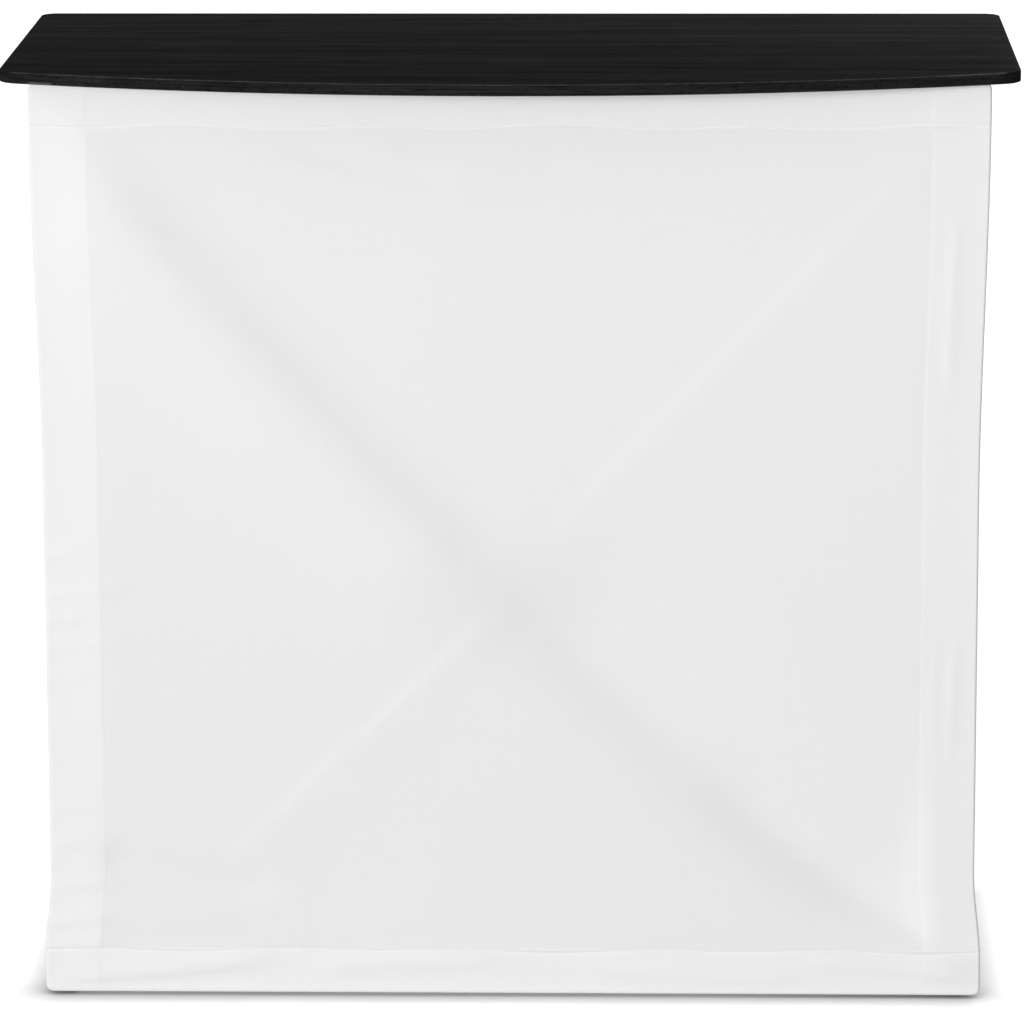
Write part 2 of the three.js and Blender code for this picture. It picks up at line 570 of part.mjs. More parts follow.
// Everything that has a left and a right is built for the right and mirrored for the left.
function addSide(bar, side) {
  const half = new THREE.Group();
  half.scale.x = side === "right" ? 1 : -1;
  bar.add(half);
  const add = (name, geometry, material, ...place) => (
    addPiece(half, `${side}_${name}`, geometry, materials[material], ...place));

  const postLow = frontRailLow + lipReach + FIT_GAP;
  const postHigh = frontRailHigh - lipReach - FIT_GAP;
  add("front_post", uprightTube(postLow, postHigh), "aluminium", postX, postY);
  add("front_lower_fitting", frontLowFitting(), "nylon", postX, postY, frontRailLow);
  add("front_upper_fitting", frontHighFitting(), "nylon", postX, postY, frontRailHigh);
  add("front_foot", foot(), "rubber", restX, restY);
  add("peg_bush", pegBush(), "nylon", restX, restY, boardUnder);

  const stileLow = wingRailLow + lipReach + FIT_GAP;
  const stileHigh = wingRailHigh - lipReach - FIT_GAP;
  const railFront = wingFrontY + lipReach + FIT_GAP;
  const railBack = wingBackY - lipReach - FIT_GAP;
  add("wing_lower_rail", deepTube(railFront, railBack), "aluminium", postX, 0, wingRailLow);
  add("wing_upper_rail", deepTube(railFront, railBack), "aluminium", postX, 0, wingRailHigh);
  for (const [end, y, back] of [["front", wingFrontY, 1], ["rear", wingBackY, -1]]) {
    add(`wing_${end}_stile`, uprightTube(stileLow, stileHigh), "aluminium", postX, y);
    add(`wing_${end}_lower_fitting`, wingFitting(1, back), "nylon", postX, y, wingRailLow);
    add(`wing_${end}_upper_fitting`, wingFitting(-1, back), "nylon", postX, y, wingRailHigh);
    add(`wing_${end}_foot`, foot(), "rubber", restX, y);
  }
  add("hook_pad", restPad(), "tape", restX, wingBackY, hookPadBottom);
  add("loop_pad", restPad(), "tape", restX, wingBackY, loopPadBottom);
  add("wing_cloth", wingCloth(), "cloth");

  const lowerHinge = FOOT_HEIGHT + HINGE_FROM_END - HINGE_LENGTH / 2;
  const upperHinge = wingTop - HINGE_FROM_END - HINGE_LENGTH / 2;
  for (const [level, z] of [["lower", lowerHinge], ["upper", upperHinge]]) {
    add(`${level}_hinge_post_leaf`, hingeLeaf(-1, [0, 2]), "zinc", hingeX, hingeY, z);
    add(`${level}_hinge_wing_leaf`, hingeLeaf(1, [1]), "zinc", hingeX, hingeY, z);
    add(`${level}_hinge_pin`, hingePin(), "zinc", hingeX, hingeY, z);
  }
}

function addFrontPanel(bar) {
  addPiece(bar, "front_lower_rail", frontRail("lower", frontRailLow), materials.aluminium);
  addPiece(bar, "front_upper_rail", frontRail("upper", frontRailHigh), materials.aluminium);
  addPiece(bar, "front_brace_strap", strap(frontStrapY, 1), materials.zinc);
  const backStrap = strap(backStrapY + STRAP_THICKNESS, -1);
  const fallingStrap = addPiece(bar, "back_brace_strap", backStrap, materials.zinc);
  fallingStrap.scale.x = -1;
  addPiece(bar, "brace_rivet", braceRivet(), materials.zinc, 0, frontStrapY, strapMiddleZ);
  for (const { side, level, x, y } of screwPlaces) {
    const lower = level === "lower";
    const z = lower ? strapLow + STRAP_THICKNESS + FIT_GAP : strapHigh - STRAP_THICKNESS - FIT_GAP;
    const screw = strapScrew();
    if (!lower) {
      screw.rotateX(Math.PI);
    }
    addPiece(bar, `${side}_${level}_brace_screw`, screw, materials.zinc, x, y, z);
  }
  addPiece(bar, "front_cloth", frontCloth(), materials.cloth);
}

const bar = new THREE.Group();
addPiece(bar, "top_board", board(), materials.board);
addFrontPanel(bar);
addSide(bar, "left");
addSide(bar, "right");

export default bar;
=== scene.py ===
import math

import bmesh
import bpy
import numpy as np
from mathutils import Matrix, Vector, noise


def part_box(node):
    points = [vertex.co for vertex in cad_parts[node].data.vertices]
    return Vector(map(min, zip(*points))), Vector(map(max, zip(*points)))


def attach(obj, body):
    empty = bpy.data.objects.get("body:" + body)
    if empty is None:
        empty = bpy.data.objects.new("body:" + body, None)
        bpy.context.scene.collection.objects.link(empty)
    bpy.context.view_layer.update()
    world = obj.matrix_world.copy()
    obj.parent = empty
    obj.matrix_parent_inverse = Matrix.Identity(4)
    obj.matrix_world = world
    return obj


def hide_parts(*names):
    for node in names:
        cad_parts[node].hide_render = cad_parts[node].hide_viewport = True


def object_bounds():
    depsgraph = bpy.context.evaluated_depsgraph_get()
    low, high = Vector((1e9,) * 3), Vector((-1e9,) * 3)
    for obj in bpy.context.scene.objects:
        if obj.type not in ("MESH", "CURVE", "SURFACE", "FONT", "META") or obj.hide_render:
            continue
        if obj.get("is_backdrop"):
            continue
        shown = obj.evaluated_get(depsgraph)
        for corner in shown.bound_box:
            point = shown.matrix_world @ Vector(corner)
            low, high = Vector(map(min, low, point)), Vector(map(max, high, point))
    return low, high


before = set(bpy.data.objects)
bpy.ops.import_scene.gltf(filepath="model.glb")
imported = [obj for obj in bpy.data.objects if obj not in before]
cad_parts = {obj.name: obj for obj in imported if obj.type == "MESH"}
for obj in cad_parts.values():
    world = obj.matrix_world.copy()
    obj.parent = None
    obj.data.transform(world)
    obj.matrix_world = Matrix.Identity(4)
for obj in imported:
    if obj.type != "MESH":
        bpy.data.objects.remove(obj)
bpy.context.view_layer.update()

# Frame tubes
# Square extruded aluminium, 25 mm with 1.5 mm walls, sawn to length and satin anodised.
# Their ends push over the spigots of the corner fittings.
MM = 0.001
TUBE_EDGE = 0.3 * MM
DIE_LINE = 1.2 * MM  # real die lines are about 0.3 mm apart, drawn wider so that they show
DIE_LINE_LENGTH = 500 * MM
DIE_LINE_DEPTH = 0.05 * MM
ANODISED_CLOUD = 90 * MM
SHARP_ANGLE = math.radians(40)
FLAT_ANGLE = math.radians(0.5)  # facets that differ by less lie in one flat face
WELD_DISTANCE = 0.005 * MM


def linear(hex_colour):
    """An sRGB hex colour as the linear values that shaders take."""
    channels = [int(hex_colour[i:i + 2], 16) / 255 for i in (1, 3, 5)]
    return [c / 12.92 if c <= 0.04045 else ((c + 0.055) / 1.055) ** 2.4 for c in channels] + [1.0]


def add_node(material, kind, settings=None, links=None):
    """One shader node with its own settings, and inputs that are constants or other nodes' outputs."""
    added = material.node_tree.nodes.new(kind)
    for name, value in (settings or {}).items():
        setattr(added, name, value)
    for name, value in (links or {}).items():
        if isinstance(value, bpy.types.NodeSocket):
            material.node_tree.links.new(value, added.inputs[name])
        else:
            added.inputs[name].default_value = value
    return added


def new_material(name, surface):
    """A material with one surface shader, and that shader with its constants set."""
    material = bpy.data.materials.new(name)
    material.use_nodes = True
    shader = material.node_tree.nodes["Principled BSDF"]
    for socket, value in surface.items():
        shader.inputs[socket].default_value = value
    return material, shader


def finish_node(node, material, edge):
    """Gives a CAD node its material, and eases its sharp edges as they are on the real piece."""
    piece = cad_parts[node]
    piece.data.materials.clear()
    piece.data.materials.append(material)
    piece.data.polygons.foreach_set("use_smooth", [True] * len(piece.data.polygons))
    weld = piece.modifiers.new("weld", "WELD")
    weld.merge_threshold = WELD_DISTANCE
    flat = piece.modifiers.new("flat_faces", "DECIMATE")
    flat.decimate_type = "DISSOLVE"
    flat.angle_limit = FLAT_ANGLE
    ease = piece.modifiers.new("eased_edges", "BEVEL")
    ease.width = edge
    ease.segments = 2
    ease.angle_limit = SHARP_ANGLE
    ease.harden_normals = True


def anodised_aluminium(axis):
    """Drawn and satin anodised: a soft metal sheen with faint lines along the tube."""
    material, shader = new_material("anodised_aluminium_" + axis, {"Metallic": 1.0})
    place = add_node(material, "ShaderNodeTexCoord")
    stretch = [1 / (DIE_LINE_LENGTH if name == axis else DIE_LINE) for name in "xyz"]
    along = add_node(material, "ShaderNodeMapping", links={
        "Vector": place.outputs["Object"], "Scale": stretch})
    lines = add_node(material, "ShaderNodeTexNoise", links={
        "Vector": along.outputs["Vector"], "Scale": 1.0, "Detail": 3.0})
    cloud = add_node(material, "ShaderNodeTexNoise", links={
        "Vector": place.outputs["Object"], "Scale": 1 / ANODISED_CLOUD, "Detail": 3.0})
    tint = add_node(material, "ShaderNodeMix", {"data_type": "RGBA"}, {
        0: cloud.outputs["Fac"], 6: linear("#bdc0c2"), 7: linear("#cfd1d2")})
    gloss = add_node(material, "ShaderNodeMapRange", links={
        "Value": lines.outputs["Fac"], "From Min": 0.3, "From Max": 0.7, "To Min": 0.3, "To Max": 0.46})
    relief = add_node(material, "ShaderNodeBump", links={
        "Height": lines.outputs["Fac"], "Strength": 0.25, "Distance": DIE_LINE_DEPTH})
    links = material.node_tree.links
    links.new(tint.outputs[2], shader.inputs["Base Color"])
    links.new(gloss.outputs["Result"], shader.inputs["Roughness"])
    links.new(relief.outputs["Normal"], shader.inputs["Normal"])
    return material


TUBE_AXES = {"_post": "z", "_stile": "z", "front_lower_rail": "x", "front_upper_rail": "x",
             "wing_lower_rail": "y", "wing_upper_rail": "y"}
tube_finish = {axis: anodised_aluminium(axis) for axis in "xyz"}
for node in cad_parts:
    for ending, axis in TUBE_AXES.items():
        if node.endswith(ending):
            finish_node(node, tube_finish[axis], TUBE_EDGE)

# Corner fittings and peg bushes
# Injection-moulded nylon, off-white, with a fine spark-eroded texture and eased edges.
# The fittings plug into the tubes, and the bushes press into the underside of the board.
FITTING_EDGE = 0.8 * MM
BUSH_EDGE = 0.3 * MM
SPARK_GRAIN = 0.7 * MM  # the real texture is about 0.1 mm, drawn coarser so that it shows
SPARK_DEPTH = 0.05 * MM
FLOW_MARK = 25 * MM

# Light sinks a little way into nylon, so it looks waxy, with faint marks where it flowed in the mould.
moulded_nylon, shader = new_material("moulded_nylon", {
    "IOR": 1.53, "Subsurface Weight": 0.12, "Subsurface Scale": 1.5 * MM})
place = add_node(moulded_nylon, "ShaderNodeTexCoord")
grain = add_node(moulded_nylon, "ShaderNodeTexNoise", links={
    "Vector": place.outputs["Object"], "Scale": 1 / SPARK_GRAIN, "Detail": 2.0})
flow = add_node(moulded_nylon, "ShaderNodeTexNoise", links={
    "Vector": place.outputs["Object"], "Scale": 1 / FLOW_MARK, "Detail": 3.0, "Distortion": 0.6})
tint = add_node(moulded_nylon, "ShaderNodeMix", {"data_type": "RGBA"}, {
    0: flow.outputs["Fac"], 6: linear("#d6d6d1"), 7: linear("#e4e4e0")})
gloss = add_node(moulded_nylon, "ShaderNodeMapRange", links={
    "Value": grain.outputs["Fac"], "From Min": 0.3, "From Max": 0.7, "To Min": 0.42, "To Max": 0.58})
relief = add_node(moulded_nylon, "ShaderNodeBump", links={
    "Height": grain.outputs["Fac"], "Strength": 0.3, "Distance": SPARK_DEPTH})
moulded_nylon.node_tree.links.new(tint.outputs[2], shader.inputs["Base Color"])
moulded_nylon.node_tree.links.new(gloss.outputs["Result"], shader.inputs["Roughness"])
moulded_nylon.node_tree.links.new(relief.outputs["Normal"], shader.inputs["Normal"])

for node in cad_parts:
    if node.endswith("_fitting"):
        finish_node(node, moulded_nylon, FITTING_EDGE)
    if node.endswith("_peg_bush"):
        finish_node(node, moulded_nylon, BUSH_EDGE)

# Feet
# Grey rubber buttons, pressed by their stems into the lower fittings.
# Compression moulding leaves them matt, with a dusty bloom.
FOOT_EDGE = 0.5 * MM
RUBBER_GRAIN = 0.9 * MM  # about 0.2 mm on real rubber, drawn coarser so that it shows
RUBBER_DEPTH = 0.08 * MM
RUBBER_BLOOM = 6 * MM

# Moulded rubber scatters light evenly, and its bloom shows as paler, duller patches.
foot_rubber, shader = new_material("foot_rubber", {"IOR": 1.52, "Specular IOR Level": 0.35})
place = add_node(foot_rubber, "ShaderNodeTexCoord")
grain = add_node(foot_rubber, "ShaderNodeTexNoise", links={
    "Vector": place.outputs["Object"], "Scale": 1 / RUBBER_GRAIN, "Detail": 2.0})
bloom = add_node(foot_rubber, "ShaderNodeTexNoise", links={
    "Vector": place.outputs["Object"], "Scale": 1 / RUBBER_BLOOM, "Detail": 4.0})
tint = add_node(foot_rubber, "ShaderNodeMix", {"data_type": "RGBA"}, {
    0: bloom.outputs["Fac"], 6: linear("#7f7f7c"), 7: linear("#979794")})
gloss = add_node(foot_rubber, "ShaderNodeMapRange", links={
    "Value": bloom.outputs["Fac"], "To Min": 0.72, "To Max": 0.9})
relief = add_node(foot_rubber, "ShaderNodeBump", links={
    "Height": grain.outputs["Fac"], "Strength": 0.35, "Distance": RUBBER_DEPTH})
foot_rubber.node_tree.links.new(tint.outputs[2], shader.inputs["Base Color"])
foot_rubber.node_tree.links.new(gloss.outputs["Result"], shader.inputs["Roughness"])
foot_rubber.node_tree.links.new(relief.outputs["Normal"], shader.inputs["Normal"])

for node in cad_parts:
    if node.endswith("_foot"):
        finish_node(node, foot_rubber, FOOT_EDGE)

# Cross brace and its rivet, and the hinges
# Pressed and rolled steel, bright zinc plated: a cool grey metal with cloudy patches from the plating bath.
# The straps cross on one rivet, and the hinge leaves lie flat on the inner faces of the tubes.
STEEL_EDGE = 0.35 * MM
ROLLING_GRAIN = 0.9 * MM  # real grain is under 0.2 mm, drawn coarser so that it shows
ROLLING_DEPTH = 0.03 * MM
PLATING_CLOUD = 18 * MM

# Plating over rolled steel: bright but uneven, faintly blue in one patch and faintly yellow in the next.
zinc_steel, shader = new_material("zinc_plated_steel", {"Metallic": 1.0})
place = add_node(zinc_steel, "ShaderNodeTexCoord")
cloud = add_node(zinc_steel, "ShaderNodeTexNoise", links={
    "Vector": place.outputs["Object"], "Scale": 1 / PLATING_CLOUD, "Detail": 5.0, "Distortion": 0.8})
grain = add_node(zinc_steel, "ShaderNodeTexNoise", links={
    "Vector": place.outputs["Object"], "Scale": 1 / ROLLING_GRAIN, "Detail": 2.0})
tint = add_node(zinc_steel, "ShaderNodeMix", {"data_type": "RGBA"}, {
    0: cloud.outputs["Fac"], 6: linear("#a9afb3"), 7: linear("#c4c5c0")})
gloss = add_node(zinc_steel, "ShaderNodeMapRange", links={
    "Value": cloud.outputs["Fac"], "From Min": 0.3, "From Max": 0.7, "To Min": 0.24, "To Max": 0.42})
relief = add_node(zinc_steel, "ShaderNodeBump", links={
    "Height": grain.outputs["Fac"], "Strength": 0.15, "Distance": ROLLING_DEPTH})
zinc_steel.node_tree.links.new(tint.outputs[2], shader.inputs["Base Color"])
zinc_steel.node_tree.links.new(gloss.outputs["Result"], shader.inputs["Roughness"])
zinc_steel.node_tree.links.new(relief.outputs["Normal"], shader.inputs["Normal"])

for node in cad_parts:
    if node.endswith(("_strap", "_rivet", "_leaf", "_pin")):
        finish_node(node, zinc_steel, STEEL_EDGE)

# Screws of the brace and the hinges
# Zinc-plated steel with a cross recess: pan heads hold the straps' feet to the rails,
# and low heads, two to a leaf, hold the hinges to the tubes.
PAN_RADIUS = 4.0 * MM
PAN_HEIGHT = 2.4 * MM
PAN_SHANK = 2.0 * MM
LOW_RADIUS = 3.0 * MM
LOW_HEIGHT = 0.8 * MM
LOW_SUNK = 0.4 * MM
LEAF_THICKNESS = 1.8 * MM
LEAF_SCREW_INSET = 8.5 * MM  # from the leaf's free edge
LEAF_SCREW_END = 13 * MM  # from the leaf's ends
CROSS_LENGTH = 0.54  # shares of the head's radius
CROSS_WIDTH = 0.15
HEAD_DOME = ((1.0, 0.3), (0.88, 0.72), (0.66, 1.0))  # shares of the head's radius and height, going up
HEAD_RECESS = ((1.0, 0.99), (0.94, 0.5), (0.35, 0.3))  # shares of the cross and of the height, going in
TIP_SHARE = 0.6  # of the shank's radius
TAPER_SHARE = 0.8  # of the shank's length, where it starts to taper


def skin(rings):
    """Vertices and faces of a closed skin over rings of points, with a middle point at each end."""
    count = len(rings[0])
    points = [point for ring in rings for point in ring]
    last = (len(rings) - 1) * count
    faces = []
    for start in range(0, last, count):
        for i in range(count):
            j = (i + 1) % count
            faces.append((start + i, start + j, start + count + j, start + count + i))
    low, high = len(points), len(points) + 1
    faces += [(low, (i + 1) % count, i) for i in range(count)]
    faces += [(high, last + i, last + (i + 1) % count) for i in range(count)]
    return points + [np.mean(rings[0], axis=0), np.mean(rings[-1], axis=0)], faces


def add_piece(name, points, faces, material, body, slot):
    """A new mesh piece that rides on a body and takes the given material; its slot is not used."""
    mesh = bpy.data.meshes.new(name)
    mesh.from_pydata([tuple(p) for p in points], [], faces)
    mesh.polygons.foreach_set("use_smooth", [True] * len(mesh.polygons))
    mesh.materials.append(material)
    piece = bpy.data.objects.new(name, mesh)
    bpy.context.scene.collection.objects.link(piece)
    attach(piece, body)
    return piece


def screw(radius, height, below, place, turn):
    """A domed head with a cross recess. below lists (radius, height) of what lies under the head."""
    arm = math.atan2(CROSS_WIDTH, CROSS_LENGTH)
    quarter = [(0, CROSS_LENGTH), (arm, math.hypot(CROSS_LENGTH, CROSS_WIDTH)),
               (math.pi / 4, CROSS_WIDTH * math.sqrt(2)),
               (math.pi / 2 - arm, math.hypot(CROSS_LENGTH, CROSS_WIDTH))]
    corners = [(angle + math.pi / 2 * k, reach) for k in range(4) for angle, reach in quarter]
    profile = below + [(wide * radius, high * height) for wide, high in HEAD_DOME]
    rings = [[(r * math.cos(a), r * math.sin(a), z) for a, _ in corners] for r, z in profile]
    for share, z in HEAD_RECESS:
        arms = [(a, share * radius * reach) for a, reach in corners]
        rings.append([(r * math.cos(a), r * math.sin(a), z * height) for a, r in arms])
    points, faces = skin(rings)
    matrix = Matrix.Translation(place) @ turn.to_4x4()
    return [matrix @ Vector(p) for p in points], faces


def joined(shapes):
    """Several shapes as one list of points and one of faces."""
    points, faces = [], []
    for more_points, more_faces in shapes:
        faces += [tuple(len(points) + i for i in face) for face in more_faces]
        points += list(more_points)
    return points, faces


def mark_sharp(piece):
    """Keeps real corners crisp where the shading is smooth."""
    piece.data.set_sharp_from_angle(angle=SHARP_ANGLE)


for side in ("left", "right"):
    for level in ("lower", "upper"):
        node = f"{side}_{level}_brace_screw"
        low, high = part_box(node)
        up = 1 if level == "lower" else -1
        under_head = high.z - PAN_HEIGHT if up > 0 else low.z + PAN_HEIGHT
        length = high.z - low.z - PAN_HEIGHT
        place = ((low.x + high.x) / 2, (low.y + high.y) / 2, under_head)
        below = [(TIP_SHARE * PAN_SHANK, -length), (PAN_SHANK, -TAPER_SHARE * length),
                 (PAN_SHANK, 0), (PAN_RADIUS, 0)]
        turn = Matrix.Identity(3) if up > 0 else Matrix.Rotation(math.pi, 3, "X")
        points, faces = screw(PAN_RADIUS, PAN_HEIGHT, below, place, turn)
        piece = add_piece(node + "_pan_head", points, faces, zinc_steel, "front_panel", "zinc_steel")
        mark_sharp(piece)
        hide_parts(node)

for side, inward in (("left", 1), ("right", -1)):
    turn = Matrix.Rotation(inward * math.pi / 2, 3, "Y")
    for level in ("lower", "upper"):
        for leaf, body in (("post", "front_panel"), ("wing", side + "_wing")):
            low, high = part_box(f"{side}_{level}_hinge_{leaf}_leaf")
            face = (low.x if inward > 0 else high.x) + inward * LEAF_THICKNESS
            y = low.y + LEAF_SCREW_INSET if leaf == "post" else high.y - LEAF_SCREW_INSET
            below = [(LOW_RADIUS, -LOW_SUNK)]
            heights = (low.z + LEAF_SCREW_END, high.z - LEAF_SCREW_END)
            shapes = [screw(LOW_RADIUS, LOW_HEIGHT, below, (face, y, z), turn) for z in heights]
            name = f"{side}_{level}_hinge_{leaf}_screws"
            mark_sharp(add_piece(name, *joined(shapes), zinc_steel, body, "zinc_steel"))

# Front cloth
# White polyester, plain woven, with hems folded double: sewn at the top and bottom, bonded at the sides.
# It is pulled over the four corner fittings and gripped behind, so its sides draw in between them,
# and the pull leaves one deep drag fold and a crease along the brace.
CLOTH_THICKNESS = 1.2 * MM
CLOTH_STEP = 5 * MM
EDGE_BEND = 2.5 * MM
CORNER_RADIUS = 9 * MM
CLOTH_STANDOFF = 1.5 * MM  # from the fittings' faces to the cloth's outer face
RETURN_STEPS = (0.2, 0.55, 0.9, 1.0)  # rows of points on the returned edges, as shares of their width
HEM_STEP = 0.7 * MM  # sewn hems at the top and the bottom
HEM_EDGE = 1.4 * MM
BONDED_STEP = 0.3 * MM  # side hems, pressed flat and bonded
BONDED_EDGE = 4 * MM
SEAM_INSET = 2.6 * MM  # stitching from the hem's inner edge
SEAM_SINK = 1.7 * MM
SEAM_SPREAD = 1.9 * MM
SEAM_WANDER = ((1.2 * MM, 31 * MM, 0), (0.9 * MM, 67 * MM, 1))  # sideways, length and phase of its waves
PUCKER = 0.22 * MM
PUCKER_LENGTH = 17 * MM
PUCKER_REACH = 10 * MM
RIPPLE = 0.55 * MM
RIPPLE_LENGTH = 130 * MM
BORDER = 37 * MM  # the frame backs the cloth this far in, so no fold sinks there
BORDER_FADE = 45 * MM
FOLD_TAPER = 0.22  # share of a fold's length over which it dies out at each end
BILLOW = 2.5 * MM  # the cloth stands proud of its edges, which are pulled back round the frame
BILLOW_REACH = 75 * MM
NECK_FROM_TOP = 400 * MM  # the sides draw in over this length, going down
NECK_FROM_FOOT = 100 * MM  # and over this one, going up
LIP_BULGE = 0.9 * MM
LIP_HEIGHT = 4 * MM
HEM_SHARE = 0.55  # share of the extra white that a double hem takes; the rest is a painted highlight along the rolled lip at the bottom
HEM_BLEND = 1.0 * MM
THREAD = 0.6 * MM  # real threads are about 0.25 mm apart, drawn wider so that they show
THREAD_DEPTH = 0.05 * MM
SLUB = 2.2 * MM
SLUB_LENGTH = 70 * MM


def smooth(value, start, span):
    """0 below start, rising smoothly to 1 over span."""
    t = np.clip((value - start) / span, 0, 1)
    return t * t * (3 - 2 * t)


def cloth_lines(length, hem):
    """Grid lines across a cloth: close together at its bent edges and seams, wide between."""
    edge = np.array([0, 0.4, 0.9, 1.6, 2.5, 4, 6, CORNER_RADIUS / MM])  # millimetres, as in the next line
    seam = hem / MM + np.array([-6, -4.4, -3.4, -2.6, -1.8, -0.8, 0, 0.8, 2, 4])
    marks = np.concatenate([edge, seam]) * MM
    marks = np.sort(np.concatenate([marks, length - marks]))
    lines = []
    for a, b in zip(marks, marks[1:]):
        lines += list(np.linspace(a, b, math.ceil((b - a) / CLOTH_STEP), endpoint=False))
    return np.array(lines + [length])


def hem_relief(distance, hem, run, sewn):
    """How far a hem stands proud, by distance from the cloth's edge. Its thread pulls a sewn one in."""
    if not sewn:
        return BONDED_STEP * (1 - smooth(distance, hem - BONDED_EDGE / 2, BONDED_EDGE))
    slack = sum(swing * np.sin(run / length + phase) for swing, length, phase in SEAM_WANDER)
    layer = HEM_STEP * (1 - smooth(distance, hem - HEM_EDGE / 2, HEM_EDGE))
    return layer - SEAM_SINK * np.exp(-((distance - hem + SEAM_INSET + slack) / SEAM_SPREAD) ** 2)


def fold_depth(x, z, fold):
    """Depth of one fold: a soft channel, or a ridge if negative, along a sagging line. Millimetres."""
    (x0, z0), (x1, z1), sag, depth, below, above = fold
    length = math.hypot(x1 - x0, z1 - z0)
    u, v = (x1 - x0) / length, (z1 - z0) / length
    along = ((x / MM - x0) * u + (z / MM - z0) * v) / length
    off = (z / MM - z0) * u - (x / MM - x0) * v + 4 * sag * along * (1 - along)
    ends = smooth(along, 0, FOLD_TAPER) * smooth(1 - along, 0, FOLD_TAPER)
    return depth * MM * ends * np.exp(-((off / np.where(off > 0, above, below)) ** 2))


def cloth_depth(x, z, panel):
    """Depth of the cloth's outer face behind its plane, at points across and up the panel."""
    to_side = panel["width"] / 2 - np.abs(x)
    to_end = np.minimum(z, panel["height"] - z)
    inside = np.minimum(to_side, to_end)
    folds = sum(fold_depth(x, z, fold) for fold in panel["folds"])
    sunk = np.maximum(folds, 0) * smooth(inside, BORDER, BORDER_FADE)
    waves = np.array([noise.noise((px / RIPPLE_LENGTH, pz / RIPPLE_LENGTH, panel["seed"]))
                      for px, pz in zip(x.ravel(), z.ravel())]).reshape(x.shape)
    proud = np.minimum(folds, 0) - BILLOW * smooth(inside, 0, BILLOW_REACH)
    depth = sunk + proud + RIPPLE * waves * smooth(inside, BORDER, BORDER_FADE)
    puckers = np.sin(2 * math.pi * x / PUCKER_LENGTH + 3 * np.sin(x / (3 * PUCKER_LENGTH)))
    near_seam = np.exp(-((to_end - panel["end_hem"]) / PUCKER_REACH) ** 2)
    depth = depth - PUCKER * near_seam * (0.5 + 0.5 * puckers)
    side_relief = hem_relief(to_side, panel["side_hem"], z, False)
    relief = side_relief + hem_relief(to_end, panel["end_hem"], x, True)
    lip = LIP_BULGE * np.exp(-((z - LIP_HEIGHT) / LIP_HEIGHT) ** 2)
    bend = np.clip(1 - inside / EDGE_BEND, 0, 1)
    return depth - relief - lip + EDGE_BEND * (1 - np.sqrt(1 - bend ** 2))


def cloth_point(x, z, panel):
    """Where points of the flat panel lie once it is stretched: across, depth and height."""
    half, height, radius = panel["width"] / 2, panel["height"], panel["corner"]
    a = np.clip((np.abs(x) - half + radius) / radius, 0, 1)
    b = np.clip((np.abs(z - height / 2) - height / 2 + radius) / radius, 0, 1)
    corner_x = a * (np.sqrt(1 - b ** 2 / 2) - 1) * radius * np.sign(x)
    corner_z = b * (np.sqrt(1 - a ** 2 / 2) - 1) * radius * np.sign(z - height / 2)
    drawn = panel["neck"] * smooth(height - z, BORDER, NECK_FROM_TOP) * smooth(z, BORDER, NECK_FROM_FOOT)
    return (x + corner_x) * (1 - drawn / half), cloth_depth(x, z, panel), z + corner_z


def stretched_cloth(name, panel, place, material, body):
    """One hemmed cloth with its edges returned over the frame, as a closed sheet."""
    half, height = panel["width"] / 2, panel["height"]
    across = cloth_lines(panel["width"], panel["side_hem"]) - half
    up = cloth_lines(height, panel["end_hem"])
    x, z = np.meshgrid(across, up, indexing="ij")
    grid = np.stack(cloth_point(x, z, panel), axis=-1)
    columns, rows = x.shape
    index = np.arange(columns * rows).reshape(columns, rows)
    faces = [(index[i, j], index[i + 1, j], index[i + 1, j + 1], index[i, j + 1])
             for i in range(columns - 1) for j in range(rows - 1)]
    loop = [(i, 0) for i in range(columns - 1)] + [(columns - 1, j) for j in range(rows - 1)]
    loop += [(i, rows - 1) for i in range(columns - 1, 0, -1)] + [(0, j) for j in range(rows - 1, 0, -1)]
    points = list(grid.reshape(-1, 3))
    flat = list(np.stack([x, z], axis=-1).reshape(-1, 2))
    previous = [index[i, j] for i, j in loop]
    for share in RETURN_STEPS:
        ring = []
        for i, j in loop:
            corner = np.clip(np.minimum(up[j], height - up[j]) / panel["corner"], 0, 1)
            reach = panel["end_return"] + (panel["side_return"] - panel["end_return"]) * corner
            px, py, pz = grid[i, j]
            ring.append(len(points))
            points.append((px, py + share * (reach - py), pz))
            flat.append((x[i, j] + np.sign(x[i, j]) * share * reach * (corner > 0), z[i, j]))
        for k in range(len(loop)):
            after = (k + 1) % len(loop)
            faces.append((previous[k], ring[k], ring[after], previous[after]))
        previous = ring
    points = [place @ Vector(p) for p in points]
    if place.determinant() < 0:
        faces = [face[::-1] for face in faces]
    piece = add_piece(name, points, faces, material, body, "white_cloth")
    flat = np.array(flat)
    edge = np.minimum(half - np.abs(flat[:, 0]) - panel["side_hem"],
                      np.minimum(flat[:, 1], height - flat[:, 1]) - panel["end_hem"])
    layers = piece.data.attributes.new("hem_layer_and_lip_highlight", "FLOAT", "POINT")
    hem = 1 - smooth(edge, -HEM_BLEND / 2, HEM_BLEND)
    # a painted highlight along the rolled lip at the bottom
    lip = np.exp(-((flat[:, 1] / LIP_HEIGHT) ** 2))
    layers.data.foreach_set("value", HEM_SHARE * hem + (1 - HEM_SHARE) * lip)
    woven = piece.data.attributes.new("woven_place", "FLOAT_VECTOR", "POINT")
    woven.data.foreach_set("vector", np.column_stack([flat, np.zeros(len(flat))]).ravel())
    body_of_cloth = piece.modifiers.new("thickness", "SOLIDIFY")
    body_of_cloth.thickness = CLOTH_THICKNESS
    body_of_cloth.offset = -1
    return piece
